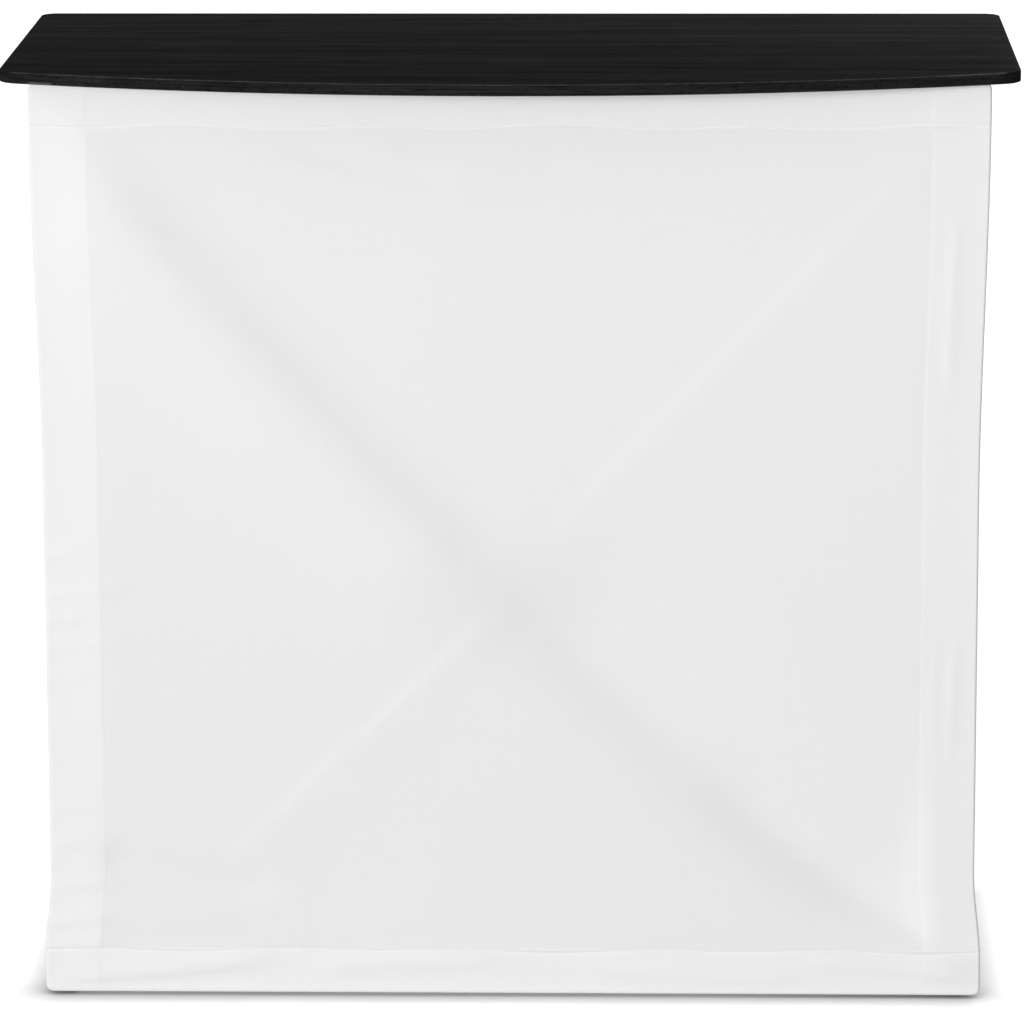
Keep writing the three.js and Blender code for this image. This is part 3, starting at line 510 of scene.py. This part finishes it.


# Plain weave of matt yarn: an even white with faint threads, whiter where the cloth is double, and a
# painted highlight along its bottom lip.
white_polyester, shader = new_material("white_polyester", {
    "Roughness": 0.88, "IOR": 1.46, "Specular IOR Level": 0.25,
    "Sheen Weight": 0.12, "Sheen Roughness": 0.5})
woven = add_node(white_polyester, "ShaderNodeAttribute", {"attribute_name": "woven_place"})
layer = add_node(white_polyester, "ShaderNodeAttribute", {"attribute_name": "hem_layer_and_lip_highlight"})
threads = []
for direction, stretch in (("X", (1 / SLUB, 1 / SLUB_LENGTH, 1)), ("Y", (1 / SLUB_LENGTH, 1 / SLUB, 1))):
    wave = add_node(white_polyester, "ShaderNodeTexWave", {"bands_direction": direction}, {
        "Vector": woven.outputs["Vector"], "Scale": math.pi / 10 / THREAD, "Distortion": 0.0})
    spread = add_node(white_polyester, "ShaderNodeMapping", links={
        "Vector": woven.outputs["Vector"], "Scale": stretch})
    slub = add_node(white_polyester, "ShaderNodeTexNoise", links={
        "Vector": spread.outputs["Vector"], "Scale": 1.0, "Detail": 2.0})
    threads.append((wave.outputs["Fac"], slub.outputs["Fac"]))
(warp, warp_slub), (weft, weft_slub) = threads
weave = add_node(white_polyester, "ShaderNodeMath", {"operation": "ADD"}, {0: warp, 1: weft})
slubs = add_node(white_polyester, "ShaderNodeMath", {"operation": "ADD"}, {0: warp_slub, 1: weft_slub})
yarn = add_node(white_polyester, "ShaderNodeMapRange", links={
    "Value": slubs.outputs["Value"], "From Min": 0.75, "From Max": 1.25})
single = add_node(white_polyester, "ShaderNodeMix", {"data_type": "RGBA"}, {
    0: yarn.outputs["Result"], 6: linear("#ebebeb"), 7: linear("#ececec")})
double = add_node(white_polyester, "ShaderNodeMix", {"data_type": "RGBA"}, {
    0: yarn.outputs["Result"], 6: linear("#f2f2f2"), 7: linear("#f3f3f3")})
tint = add_node(white_polyester, "ShaderNodeMix", {"data_type": "RGBA"}, {
    0: layer.outputs["Fac"], 6: single.outputs[2], 7: double.outputs[2]})
relief = add_node(white_polyester, "ShaderNodeBump", links={
    "Height": weave.outputs["Value"], "Strength": 0.1, "Distance": THREAD_DEPTH})
uneven = add_node(white_polyester, "ShaderNodeBump", links={
    "Height": slubs.outputs["Value"], "Strength": 0.03, "Distance": THREAD_DEPTH,
    "Normal": relief.outputs["Normal"]})
white_polyester.node_tree.links.new(tint.outputs[2], shader.inputs["Base Color"])
white_polyester.node_tree.links.new(uneven.outputs["Normal"], shader.inputs["Normal"])

# Folds of the front cloth, in millimetres from the middle of its bottom edge:
# start, end, sag below the straight line, depth (negative stands proud), half widths below and above.
FRONT_FOLDS = [
    ((-500, 955), (16, 382), 18, -11.0, 85, 44),  # drag fold, upper part, which stands proud
    ((-22, 478), (475, 36), 13, 10.5, 44, 105),  # the same fold as it turns inwards, lower part
    ((-335, 118), (15, 446), 0, -1.3, 45, 7),  # crease over the front strap, lower and upper part
    ((0, 452), (452, 924), 0, -1.3, 55, 9),
    ((-250, 925), (-50, 880), 6, 2.6, 9, 12),  # short folds under the top hem
    ((-130, 915), (90, 893), 4, 1.6, 8, 10),
    ((-480, 165), (-240, 110), 8, 3.4, 14, 18),  # bottom left corner
    ((-490, 95), (-290, 82), 5, -1.2, 11, 9),
    ((200, 240), (490, 45), 6, 3.0, 24, 28),  # bottom right corner
    ((330, 90), (495, 30), 3, -1.4, 10, 10),
    ((-500, 14), (-240, 40), 3, -3.0, 7, 14),  # slack of the bottom hem
    ((-230, 24), (10, 34), -4, -2.0, 8, 12),
    ((60, 30), (330, 18), 3, -2.0, 8, 12),
    ((300, 38), (500, 16), -3, -2.4, 7, 11),
    ((468, 860), (466, 640), 2, -0.9, 6, 6),  # upright wrinkles of the right hem
    ((476, 410), (473, 110), 2, -0.9, 6, 6),
    ((456, 400), (458, 140), 3, -0.7, 5, 5),
]
LEFT_WRINKLES = 13  # small level wrinkles of the left hem, unevenly spaced
for step in range(LEFT_WRINKLES):
    rise = 50 + 36 * step + 9 * math.sin(5 * step)
    reach = 70 + 25 * math.sin(3 * step)
    wrinkle = -0.9 - 0.4 * math.sin(7 * step)
    FRONT_FOLDS.append(((-505, rise), (-500 + reach, rise + 5), 0, wrinkle, 6, 7))

front_low, front_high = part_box("front_cloth")
front_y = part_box("left_front_lower_fitting")[0].y - CLOTH_STANDOFF
FRONT_PANEL = {
    "width": front_high.x - front_low.x, "height": front_high.z - front_low.z, "neck": 7.5 * MM,
    "side_hem": 60 * MM, "end_hem": 50 * MM, "side_return": front_high.y - front_y, "end_return": 9 * MM,
    "corner": CORNER_RADIUS, "folds": FRONT_FOLDS, "seed": 3.0}
front_place = Matrix.Translation((0, front_y, front_low.z))
front_cloth = stretched_cloth("front_cloth_panel", FRONT_PANEL, front_place, white_polyester, "front_panel")
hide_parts("front_cloth")

# Hem stitching of the front cloth
# White polyester thread in a lockstitch, one row inside the inner edge of the top and bottom hems,
# seen on both faces.
STITCH = 3.4 * MM
STITCH_SHARE = 0.74
STITCH_RADIUS = 0.2 * MM
STITCH_SIDES = 5
STITCH_BOW = ((-0.25, 0.6), (0.45, 1.0), (-0.25, 0.6))  # lift and thickness, shares of its radius, along it

# Twisted filament: a little glossier than the cloth, and not quite one white from stitch to stitch.
sewing_thread, shader = new_material("sewing_thread", {"Roughness": 0.6, "IOR": 1.5, "Sheen Weight": 0.2})
place = add_node(sewing_thread, "ShaderNodeTexCoord")
twist = add_node(sewing_thread, "ShaderNodeTexNoise", links={
    "Vector": place.outputs["Object"], "Scale": 1 / STITCH, "Detail": 2.0})
tint = add_node(sewing_thread, "ShaderNodeMix", {"data_type": "RGBA"}, {
    0: twist.outputs["Fac"], 6: linear("#e6e6e4"), 7: linear("#f2f2f0")})
sewing_thread.node_tree.links.new(tint.outputs[2], shader.inputs["Base Color"])


def seam_lines(panel):
    """The rows of stitching as pairs of end points on the flat panel."""
    low = panel["end_hem"] - SEAM_INSET
    high = panel["height"] - low
    end = panel["width"] / 2 - EDGE_BEND
    return [((-end, low), (end, low)), ((-end, high), (end, high))]


def stitching(name, panel, place, body):
    """All the stitches of one cloth: short bowed threads that dip into the cloth at both ends."""
    shapes = []
    for (x0, z0), (x1, z1) in seam_lines(panel):
        length = math.hypot(x1 - x0, z1 - z0)
        count = int(length / STITCH)
        starts = np.arange(count)[:, None] / count
        shares = starts + np.array([0, 0.5, 1]) * STITCH_SHARE / count
        x, depth, z = cloth_point(x0 + (x1 - x0) * shares, z0 + (z1 - z0) * shares, panel)
        along = Vector((x1 - x0, 0, z1 - z0)).normalized()
        beside = along.cross(Vector((0, 1, 0)))
        for face, outward in ((0, -1), (CLOTH_THICKNESS, 1)):
            for k in range(count):
                rings = []
                for m, (lift, thick) in enumerate(STITCH_BOW):
                    y = depth[k, m] + face + outward * lift * STITCH_RADIUS
                    middle = Vector((x[k, m], y, z[k, m]))
                    ring = []
                    for s in range(STITCH_SIDES):
                        angle = 2 * math.pi * s / STITCH_SIDES
                        offset = beside * math.cos(angle) + Vector((0, 1, 0)) * math.sin(angle)
                        ring.append(place @ (middle + offset * STITCH_RADIUS * thick))
                    rings.append(ring)
                shapes.append(skin(rings))
    return add_piece(name, *joined(shapes), sewing_thread, body, "white_cloth")


front_stitching = stitching("front_cloth_stitching", FRONT_PANEL, front_place, "front_panel")

# Wing cloths
# The same white polyester and hems, one narrow panel to a wing, stretched over its four tubes.
# Its edges return round the tubes and fittings. Its folds are listed as the front's are.
WING_CORNER = 1.5 * MM  # tight, because the fittings under the cloth have square corners
WING_FOLDS = [
    ((-190, 965), (80, 560), 10, 1.6, 32, 44),
    ((185, 40), (-60, 470), -8, 1.4, 40, 30),
    ((-185, 30), (120, 300), 6, -0.9, 24, 22),
    ((150, 955), (-40, 820), 4, -0.8, 18, 18),
]
for side, outward in (("left", -1), ("right", 1)):
    low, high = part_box(side + "_wing_cloth")
    panel = {
        "width": high.y - low.y, "height": high.z - low.z, "neck": 0.0,
        "side_hem": 40 * MM, "end_hem": 50 * MM, "side_return": 9 * MM, "end_return": 9 * MM,
        "corner": WING_CORNER, "folds": WING_FOLDS, "seed": 20.0 + outward}
    outer = high.x if outward > 0 else low.x
    middle = (low.y + high.y) / 2
    turned = Matrix(((0, -outward, 0, outer), (1, 0, 0, middle), (0, 0, 1, low.z), (0, 0, 0, 1)))
    wing_cloth = stretched_cloth(side + "_wing_cloth_panel", panel, turned, white_polyester, side + "_wing")
    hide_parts(side + "_wing_cloth")
    wing_stitching = stitching(side + "_wing_cloth_stitching", panel, turned, side + "_wing")

# Hook and loop pads
# White woven tape discs: hooks on top of each wing's rear fitting, soft loops under the board.
# They hold the open wings in place.
BACKING = 0.6 * MM
HOOK_PITCH = 1.3 * MM
HOOK_WIDTH = 0.3 * MM
HOOK_ROOT = 0.1 * MM  # how deep a hook starts in the backing
HOOK_LEAN = 0.6 * HOOK_PITCH
HOOK_FORM = ((0.7, 0.1, 0.75), (0.9, 0.5, 1.0))  # shares of width, lean and height at its neck and top
PAD_EDGE = 0.2 * MM
PILE = 0.8 * MM
PILE_DEPTH = 0.2 * MM
TUFT = 0.9 * MM
TUFT_SHARE = 0.14  # how much of the loops' height is uneven
LOOP_SHOULDER = 0.7  # where the pad's side ends, as a share of its height
LOOP_RINGS = 7
PAD_SIDES = 28

# Woven nylon pile: matt and fuzzy, with painted shade that greys it between the tufts.
tape_pile, shader = new_material("hook_and_loop_tape", {"Roughness": 0.9, "IOR": 1.5, "Sheen Weight": 0.3})
place = add_node(tape_pile, "ShaderNodeTexCoord")
fuzz = add_node(tape_pile, "ShaderNodeTexNoise", links={
    "Vector": place.outputs["Object"], "Scale": 1 / PILE, "Detail": 4.0})
# painted shade: the tint follows the pile's height and is darker where the pile is low
tint = add_node(tape_pile, "ShaderNodeMix", {"data_type": "RGBA"}, {
    0: fuzz.outputs["Fac"], 6: linear("#d5d5d0"), 7: linear("#ecece8")})
relief = add_node(tape_pile, "ShaderNodeBump", links={
    "Height": fuzz.outputs["Fac"], "Strength": 0.5, "Distance": PILE_DEPTH})
tape_pile.node_tree.links.new(tint.outputs[2], shader.inputs["Base Color"])
tape_pile.node_tree.links.new(relief.outputs["Normal"], shader.inputs["Normal"])


def circle(radius, z, sides=PAD_SIDES):
    """Points of a level circle."""
    turns = [2 * math.pi * k / sides for k in range(sides)]
    return [(radius * math.cos(t), radius * math.sin(t), z) for t in turns]


def hook_pad(radius, thickness):
    """A disc of backing with rows of small hooks that lean left and right by turns."""
    shapes = [skin([circle(radius - PAD_EDGE, 0), circle(radius, PAD_EDGE),
                    circle(radius, BACKING - PAD_EDGE), circle(radius - PAD_EDGE, BACKING)])]
    levels = [(1, 0, BACKING - HOOK_ROOT)]
    levels += [(wide, lean, tall * thickness) for wide, lean, tall in HOOK_FORM]
    reach = int(radius / HOOK_PITCH)
    for i in range(-reach, reach + 1):
        for j in range(-reach, reach + 1):
            x, y = i * HOOK_PITCH, j * HOOK_PITCH
            if math.hypot(x, y) > radius - HOOK_PITCH:
                continue
            stem = []
            to_side = 1 if (i + j) % 2 else -1
            for wide, lean, z in levels:
                half = wide * HOOK_WIDTH
                mid = x + lean * to_side * HOOK_LEAN
                stem.append([(mid - half, y - half, z), (mid + half, y - half, z),
                             (mid + half, y + half, z), (mid - half, y + half, z)])
            shapes.append(skin(stem))
    return joined(shapes)


def loop_pad(radius, thickness):
    """A disc of soft loops with an uneven, tufted face."""
    rings = [circle(radius - PAD_EDGE, 0), circle(radius, PAD_EDGE),
             circle(radius, LOOP_SHOULDER * thickness)]
    for k in range(LOOP_RINGS):
        share = 1 - (k + 0.4) / LOOP_RINGS
        ring = []
        for x, y, _ in circle(radius * share, 0):
            tuft = noise.noise((x / TUFT, y / TUFT, 5.0))
            ring.append((x, y, thickness * (1 - TUFT_SHARE + TUFT_SHARE * tuft)))
        rings.append(ring)
    return skin(rings)


for side in ("left", "right"):
    for kind, shape, body, turn in (("hook", hook_pad, side + "_wing", Matrix.Identity(3)),
                                    ("loop", loop_pad, "board", Matrix.Rotation(math.pi, 3, "X"))):
        low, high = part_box(f"{side}_{kind}_pad")
        points, faces = shape((high.x - low.x) / 2, high.z - low.z)
        base = low.z if kind == "hook" else high.z
        matrix = Matrix.Translation(((low.x + high.x) / 2, (low.y + high.y) / 2, base)) @ turn.to_4x4()
        points = [matrix @ Vector(p) for p in points]
        pad = add_piece(f"{side}_{kind}_tape", points, faces, tape_pile, body, "hook_and_loop")
        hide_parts(f"{side}_{kind}_pad")

# Board
# A thin panel faced and edged with black stained ash veneer, open grained and matt lacquered.
# The grain runs the length of the board. Its rounded edges are a little lighter, partly from real rubbing
# and partly as a painted highlight, with a painted glint near the right end of the upper front edge.
# Two blind holes underneath take the bushes.
ARRIS = 1.1 * MM
ARRIS_STEPS = 4
BOW = 95 * MM
FRONT_RADIUS = 30 * MM
BACK_RADIUS = 18 * MM
BOW_STEPS = 120
CORNER_STEPS = 10
BUSH_GAP = 0.3 * MM
BUSH_SIDES = 40
GRAIN_LENGTH = 420 * MM
GRAIN_BAND = 22 * MM
PORE_LENGTH = 110 * MM
PORE_WIDTH = 1.3 * MM  # real pores are about 0.3 mm wide, drawn wider so that they show
PORE_DEPTH = 0.05 * MM
EDGE_LINE = 1.8 * MM  # width of the grain bands on the board's edges
WEAR_AND_HIGHLIGHT_PATCH = 14 * MM
PAINTED_GLINT_FROM = 440 * MM  # a painted glint on the upper front edge near its right end
PAINTED_GLINT_TO = 512 * MM
PAINTED_GLINT = 2.4
SCUFF_FROM = -500 * MM  # one knock on the lower front edge at the left
SCUFF_TO = -474 * MM
SCUFFED = 2.0
SCUFF_HEIGHT = 3 * ARRIS
UNHIGHLIGHTED_END = 14 * MM  # painted shade: the ends get none of the lighter edge colour and keep the stain's full black, as ends in shade look

# Stain blackens the wood unevenly: soft bands, darker pores, next to no shine, and greyer edges that are
# partly rubbed and partly a painted highlight.
black_veneer, shader = new_material("black_stained_ash", {"IOR": 1.48, "Specular IOR Level": 0.001})
place = add_node(black_veneer, "ShaderNodeTexCoord")
bands_place = add_node(black_veneer, "ShaderNodeMapping", links={
    "Vector": place.outputs["Object"], "Scale": (1 / GRAIN_LENGTH, 1 / GRAIN_BAND, 1 / EDGE_LINE)})
bands = add_node(black_veneer, "ShaderNodeTexNoise", links={
    "Vector": bands_place.outputs["Vector"], "Scale": 1.0, "Detail": 4.0, "Roughness": 0.6,
    "Distortion": 0.4})
pores_place = add_node(black_veneer, "ShaderNodeMapping", links={
    "Vector": place.outputs["Object"], "Scale": (1 / PORE_LENGTH, 1 / PORE_WIDTH, 1 / PORE_WIDTH)})
pores = add_node(black_veneer, "ShaderNodeTexNoise", links={
    "Vector": pores_place.outputs["Vector"], "Scale": 1.0, "Detail": 3.0, "Roughness": 0.55})
band_share = add_node(black_veneer, "ShaderNodeMapRange", links={
    "Value": bands.outputs["Fac"], "From Min": 0.3, "From Max": 0.7})
wood = add_node(black_veneer, "ShaderNodeMix", {"data_type": "RGBA"}, {
    0: band_share.outputs["Result"], 6: linear("#141414"), 7: linear("#2c2c2c")})
pore_share = add_node(black_veneer, "ShaderNodeMapRange", links={
    "Value": pores.outputs["Fac"], "From Min": 0.52, "From Max": 0.66})
stained = add_node(black_veneer, "ShaderNodeMix", {"data_type": "RGBA"}, {
    0: pore_share.outputs["Result"], 6: wood.outputs[2], 7: linear("#111111")})
# how much wear and painted highlight each point of the edges takes
worn_and_highlighted = add_node(black_veneer, "ShaderNodeAttribute", {"attribute_name": "worn_and_highlighted_edge"})
patches = add_node(black_veneer, "ShaderNodeTexNoise", links={
    "Vector": place.outputs["Object"], "Scale": 1 / WEAR_AND_HIGHLIGHT_PATCH, "Detail": 5.0, "Roughness": 0.7})
patch_share = add_node(black_veneer, "ShaderNodeMapRange", links={
    "Value": patches.outputs["Fac"], "From Min": 0.4, "From Max": 0.7, "To Min": 0.35})
worn_and_highlighted_share = add_node(black_veneer, "ShaderNodeMath", {"operation": "MULTIPLY"}, {
    0: worn_and_highlighted.outputs["Fac"], 1: patch_share.outputs["Result"]})
# the lighter edge colour: partly real wear, partly a painted highlight along the rounded edges
tint = add_node(black_veneer, "ShaderNodeMix", {"data_type": "RGBA"}, {
    0: worn_and_highlighted_share.outputs["Value"], 6: stained.outputs[2], 7: linear("#585756")})
gloss = add_node(black_veneer, "ShaderNodeMapRange", links={
    "Value": pore_share.outputs["Result"], "To Min": 0.58, "To Max": 0.78})
relief = add_node(black_veneer, "ShaderNodeBump", {"invert": True}, {
    "Height": pore_share.outputs["Result"], "Strength": 0.15, "Distance": PORE_DEPTH})
black_veneer.node_tree.links.new(tint.outputs[2], shader.inputs["Base Color"])
black_veneer.node_tree.links.new(gloss.outputs["Result"], shader.inputs["Roughness"])
black_veneer.node_tree.links.new(relief.outputs["Normal"], shader.inputs["Normal"])


def arc(centre, radius, start, end, steps):
    """Points of an arc, each with the direction in which it faces."""
    turns = np.linspace(start, end, steps + 1)
    return [(centre[0] + radius * math.cos(t), centre[1] + radius * math.sin(t), math.cos(t), math.sin(t))
            for t in turns]


def board_outline(low, high):
    """Straight back and ends, a long bowed front, and rounded corners."""
    half = high.x
    bow_radius = (half ** 2 + BOW ** 2) / (2 * BOW)
    bow_centre = low.y + bow_radius
    corner_x = half - FRONT_RADIUS
    corner_y = bow_centre - math.sqrt((bow_radius - FRONT_RADIUS) ** 2 - corner_x ** 2)
    lean = math.atan2(corner_y - bow_centre, corner_x)
    back_x, back_y = half - BACK_RADIUS, high.y - BACK_RADIUS
    outline = arc((0, bow_centre), bow_radius, -math.pi - lean, lean, BOW_STEPS)[:-1]
    outline += arc((corner_x, corner_y), FRONT_RADIUS, lean, 0, CORNER_STEPS)
    outline += arc((back_x, back_y), BACK_RADIUS, 0, math.pi / 2, CORNER_STEPS)
    outline += arc((-back_x, back_y), BACK_RADIUS, math.pi / 2, math.pi, CORNER_STEPS)
    return outline + arc((-corner_x, corner_y), FRONT_RADIUS, math.pi, math.pi - lean, CORNER_STEPS)[:-1]


def board_mesh():
    """The board with rounded arrises, how much wear and painted highlight each point takes, and the two
    bush holes underneath.
    """
    low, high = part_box("top_board")
    outline = board_outline(low, high)
    middle = (low.z + high.z) / 2
    arris_turns = [math.pi / 2 * k / ARRIS_STEPS for k in range(ARRIS_STEPS + 1)]
    # each rounded edge is lightest at its middle: partly wear, partly a painted highlight where it catches
    # the light
    arris = [(ARRIS * (1 - math.sin(t)), ARRIS * (1 - math.cos(t)), math.sin(2 * t)) for t in arris_turns]
    levels = [(low.z + rise, inset, edge_wear_and_highlight) for rise, inset, edge_wear_and_highlight in arris[::-1]]
    levels += [(low.z + SCUFF_HEIGHT, 0.0, 0.0)]
    levels += [(high.z - drop, inset, edge_wear_and_highlight) for drop, inset, edge_wear_and_highlight in arris]
    mesh = bmesh.new()
    worn_and_highlighted_layer = mesh.verts.layers.float.new("worn_and_highlighted_edge")
    rings = []
    for z, inset, edge_wear_and_highlight in levels:
        ring = [mesh.verts.new((x - inset * nx, y - inset * ny, z)) for x, y, nx, ny in outline]
        for vertex in ring:
            vertex[worn_and_highlighted_layer] = edge_wear_and_highlight
            at_front = vertex.co.y < 0
            # a painted glint near the right end of the upper front edge
            if at_front and z > middle and PAINTED_GLINT_FROM < vertex.co.x < PAINTED_GLINT_TO:
                vertex[worn_and_highlighted_layer] *= PAINTED_GLINT
            if at_front and z < low.z + SCUFF_HEIGHT / 2 and SCUFF_FROM < vertex.co.x < SCUFF_TO:
                vertex[worn_and_highlighted_layer] = SCUFFED
            # painted shade: no lighter edge at the ends, which stay black
            if abs(vertex.co.x) > high.x - UNHIGHLIGHTED_END:
                vertex[worn_and_highlighted_layer] = 0.0
        rings.append(ring)
    count = len(outline)
    for below, above in zip(rings, rings[1:]):
        for i in range(count):
            mesh.faces.new((below[i], below[(i + 1) % count], above[(i + 1) % count], above[i]))
    mesh.faces.new(rings[-1])
    rims = [mesh.edges.get((rings[0][i], rings[0][(i + 1) % count])) for i in range(count)]
    for side in ("left", "right"):
        bush_low, bush_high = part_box(side + "_peg_bush")
        hole = (bush_low + bush_high) / 2
        radius = (bush_high.x - bush_low.x) / 2 + BUSH_GAP
        rim = circle(radius, 0, BUSH_SIDES)
        walls = []
        for z in (low.z, bush_high.z + BUSH_GAP):
            walls.append([mesh.verts.new((hole.x + x, hole.y + y, z)) for x, y, _ in rim])
        for i in range(BUSH_SIDES):
            j = (i + 1) % BUSH_SIDES
            mesh.faces.new((walls[0][j], walls[0][i], walls[1][i], walls[1][j]))
            rims.append(mesh.edges.get((walls[0][i], walls[0][j])))
        mesh.faces.new(walls[1][::-1])
    bmesh.ops.triangle_fill(mesh, use_beauty=True, edges=rims, normal=(0, 0, -1))
    bmesh.ops.recalc_face_normals(mesh, faces=mesh.faces)
    return mesh


shape = board_mesh()
board = add_piece("black_board", [], [], black_veneer, "board", "board_veneer")
shape.to_mesh(board.data)
shape.free()
board.data.polygons.foreach_set("use_smooth", [True] * len(board.data.polygons))
mark_sharp(board)
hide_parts("top_board")

# Studio
# A pale seamless floor, one wide soft light in front and to the left, a weak strip close to the top of
# the front, a soft light behind for the back, and even light from all round.
FLOOR_SIZE = 60.0
FLOOR_GLOW = 0.79  # what the camera sees beside the light that falls on the floor
SHADE_REACH = 40 * MM  # the glow dies out this close to the bar, which leaves its contact shadow
SHADE_DEPTH = 1.7  # how steeply it dies out
SHADE_SAMPLES = 16
LOW_LIGHT = 0.52  # light from all round, strongest from the sides
HIGH_LIGHT = 0.14
LIT_POINT = Vector((0, -0.17, 0.5))
LAMPS = (("front_light", (-10.5, -17.2, 2.8), (8.0, 3.5), 2780),  # place, width and height, power
         ("top_light", (0.0, -1.6, 1.25), (2.2, 0.3), 3.5),
         ("back_light", (5.0, 12.0, 5.0), (6.0, 6.0), 850))


def backdrop_rays(owner):
    """1 for rays that show the floor or the world as a backdrop, and 0 for those that light the bar."""
    rays = add_node(owner, "ShaderNodeLightPath")
    seen = add_node(owner, "ShaderNodeMath", {"operation": "MAXIMUM"}, {
        0: rays.outputs["Is Camera Ray"], 1: rays.outputs["Is Glossy Ray"]})
    shown = add_node(owner, "ShaderNodeMath", {"operation": "MAXIMUM"}, {
        0: seen.outputs["Value"], 1: rays.outputs["Is Transmission Ray"]})
    return shown.outputs["Value"]


floor_mesh = bpy.data.meshes.new("floor")
reach = FLOOR_SIZE / 2
corners = [(-reach, -reach, 0), (reach, -reach, 0), (reach, reach, 0), (-reach, reach, 0)]
floor_mesh.from_pydata(corners, [], [(0, 1, 2, 3)])
floor = bpy.data.objects.new("floor", floor_mesh)
bpy.context.scene.collection.objects.link(floor)
floor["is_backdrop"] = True

# Matt and pale. Its own glow towards the camera hides cast shadows, and fades close to the bar.
pale_floor, shader = new_material("pale_floor", {
    "Base Color": linear("#bebebe"), "Roughness": 1.0, "Specular IOR Level": 0.0,
    "Emission Color": linear("#ffffff")})
shade = add_node(pale_floor, "ShaderNodeAmbientOcclusion", {"samples": SHADE_SAMPLES}, {
    "Distance": SHADE_REACH})
deep = add_node(pale_floor, "ShaderNodeMath", {"operation": "POWER"}, {
    0: shade.outputs["AO"], 1: SHADE_DEPTH})
lit = add_node(pale_floor, "ShaderNodeMath", {"operation": "MULTIPLY"}, {
    0: deep.outputs["Value"], 1: FLOOR_GLOW})
glow = add_node(pale_floor, "ShaderNodeMath", {"operation": "MULTIPLY"}, {
    0: backdrop_rays(pale_floor), 1: lit.outputs["Value"]})
pale_floor.node_tree.links.new(glow.outputs["Value"], shader.inputs["Emission Strength"])
floor_mesh.materials.append(pale_floor)

world = bpy.data.worlds.new("studio")
bpy.context.scene.world = world
world.use_nodes = True
place = add_node(world, "ShaderNodeTexCoord")
parts = add_node(world, "ShaderNodeSeparateXYZ", links={"Vector": place.outputs["Generated"]})
round_light = add_node(world, "ShaderNodeMapRange", links={
    "Value": parts.outputs["Z"], "To Min": LOW_LIGHT, "To Max": HIGH_LIGHT})
strength = add_node(world, "ShaderNodeMapRange", links={
    "Value": backdrop_rays(world), "To Min": round_light.outputs["Result"], "To Max": 1.0})
backdrop = world.node_tree.nodes["Background"]
backdrop.inputs["Color"].default_value = linear("#ffffff")
world.node_tree.links.new(strength.outputs["Result"], backdrop.inputs["Strength"])

for name, place, size, power in LAMPS:
    lamp = bpy.data.lights.new(name, "AREA")
    lamp.shape = "RECTANGLE"
    lamp.size, lamp.size_y = size
    lamp.energy = power
    light = bpy.data.objects.new(name, lamp)
    light.location = place
    light.rotation_euler = (LIT_POINT - light.location).to_track_quat("-Z", "Y").to_euler()
    bpy.context.scene.collection.objects.link(light)

# Camera
# A long lens at about eye height, turned a little to the left, as the photograph was taken.
# Its place and angles, in degrees, were fitted to the board's edges and the cloth's corners.
CAMERA_PLACE = (0.1712, -6.2752, 1.8644)
CAMERA_DOWN = 12.31
CAMERA_LEFT = 1.589
CAMERA_ROLL = -0.194
CAMERA_LENS = 208.9  # millimetres, as the sensor's width is
CAMERA_SENSOR = 36
CAMERA_REACH = 200

view = bpy.data.cameras.new("camera")
view.sensor_width = CAMERA_SENSOR
view.lens = CAMERA_LENS
view.clip_end = CAMERA_REACH
camera = bpy.data.objects.new("camera", view)
camera.location = CAMERA_PLACE
camera.rotation_euler = (Matrix.Rotation(math.radians(CAMERA_LEFT), 3, "Z")
                         @ Matrix.Rotation(math.radians(90 - CAMERA_DOWN), 3, "X")
                         @ Matrix.Rotation(math.radians(CAMERA_ROLL), 3, "Z")).to_euler()
bpy.context.scene.collection.objects.link(camera)
bpy.context.scene.camera = camera
bpy.context.scene.view_settings.view_transform = "Standard"

# Sizes
# The box of everything that is shown, the floor left out.
low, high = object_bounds()
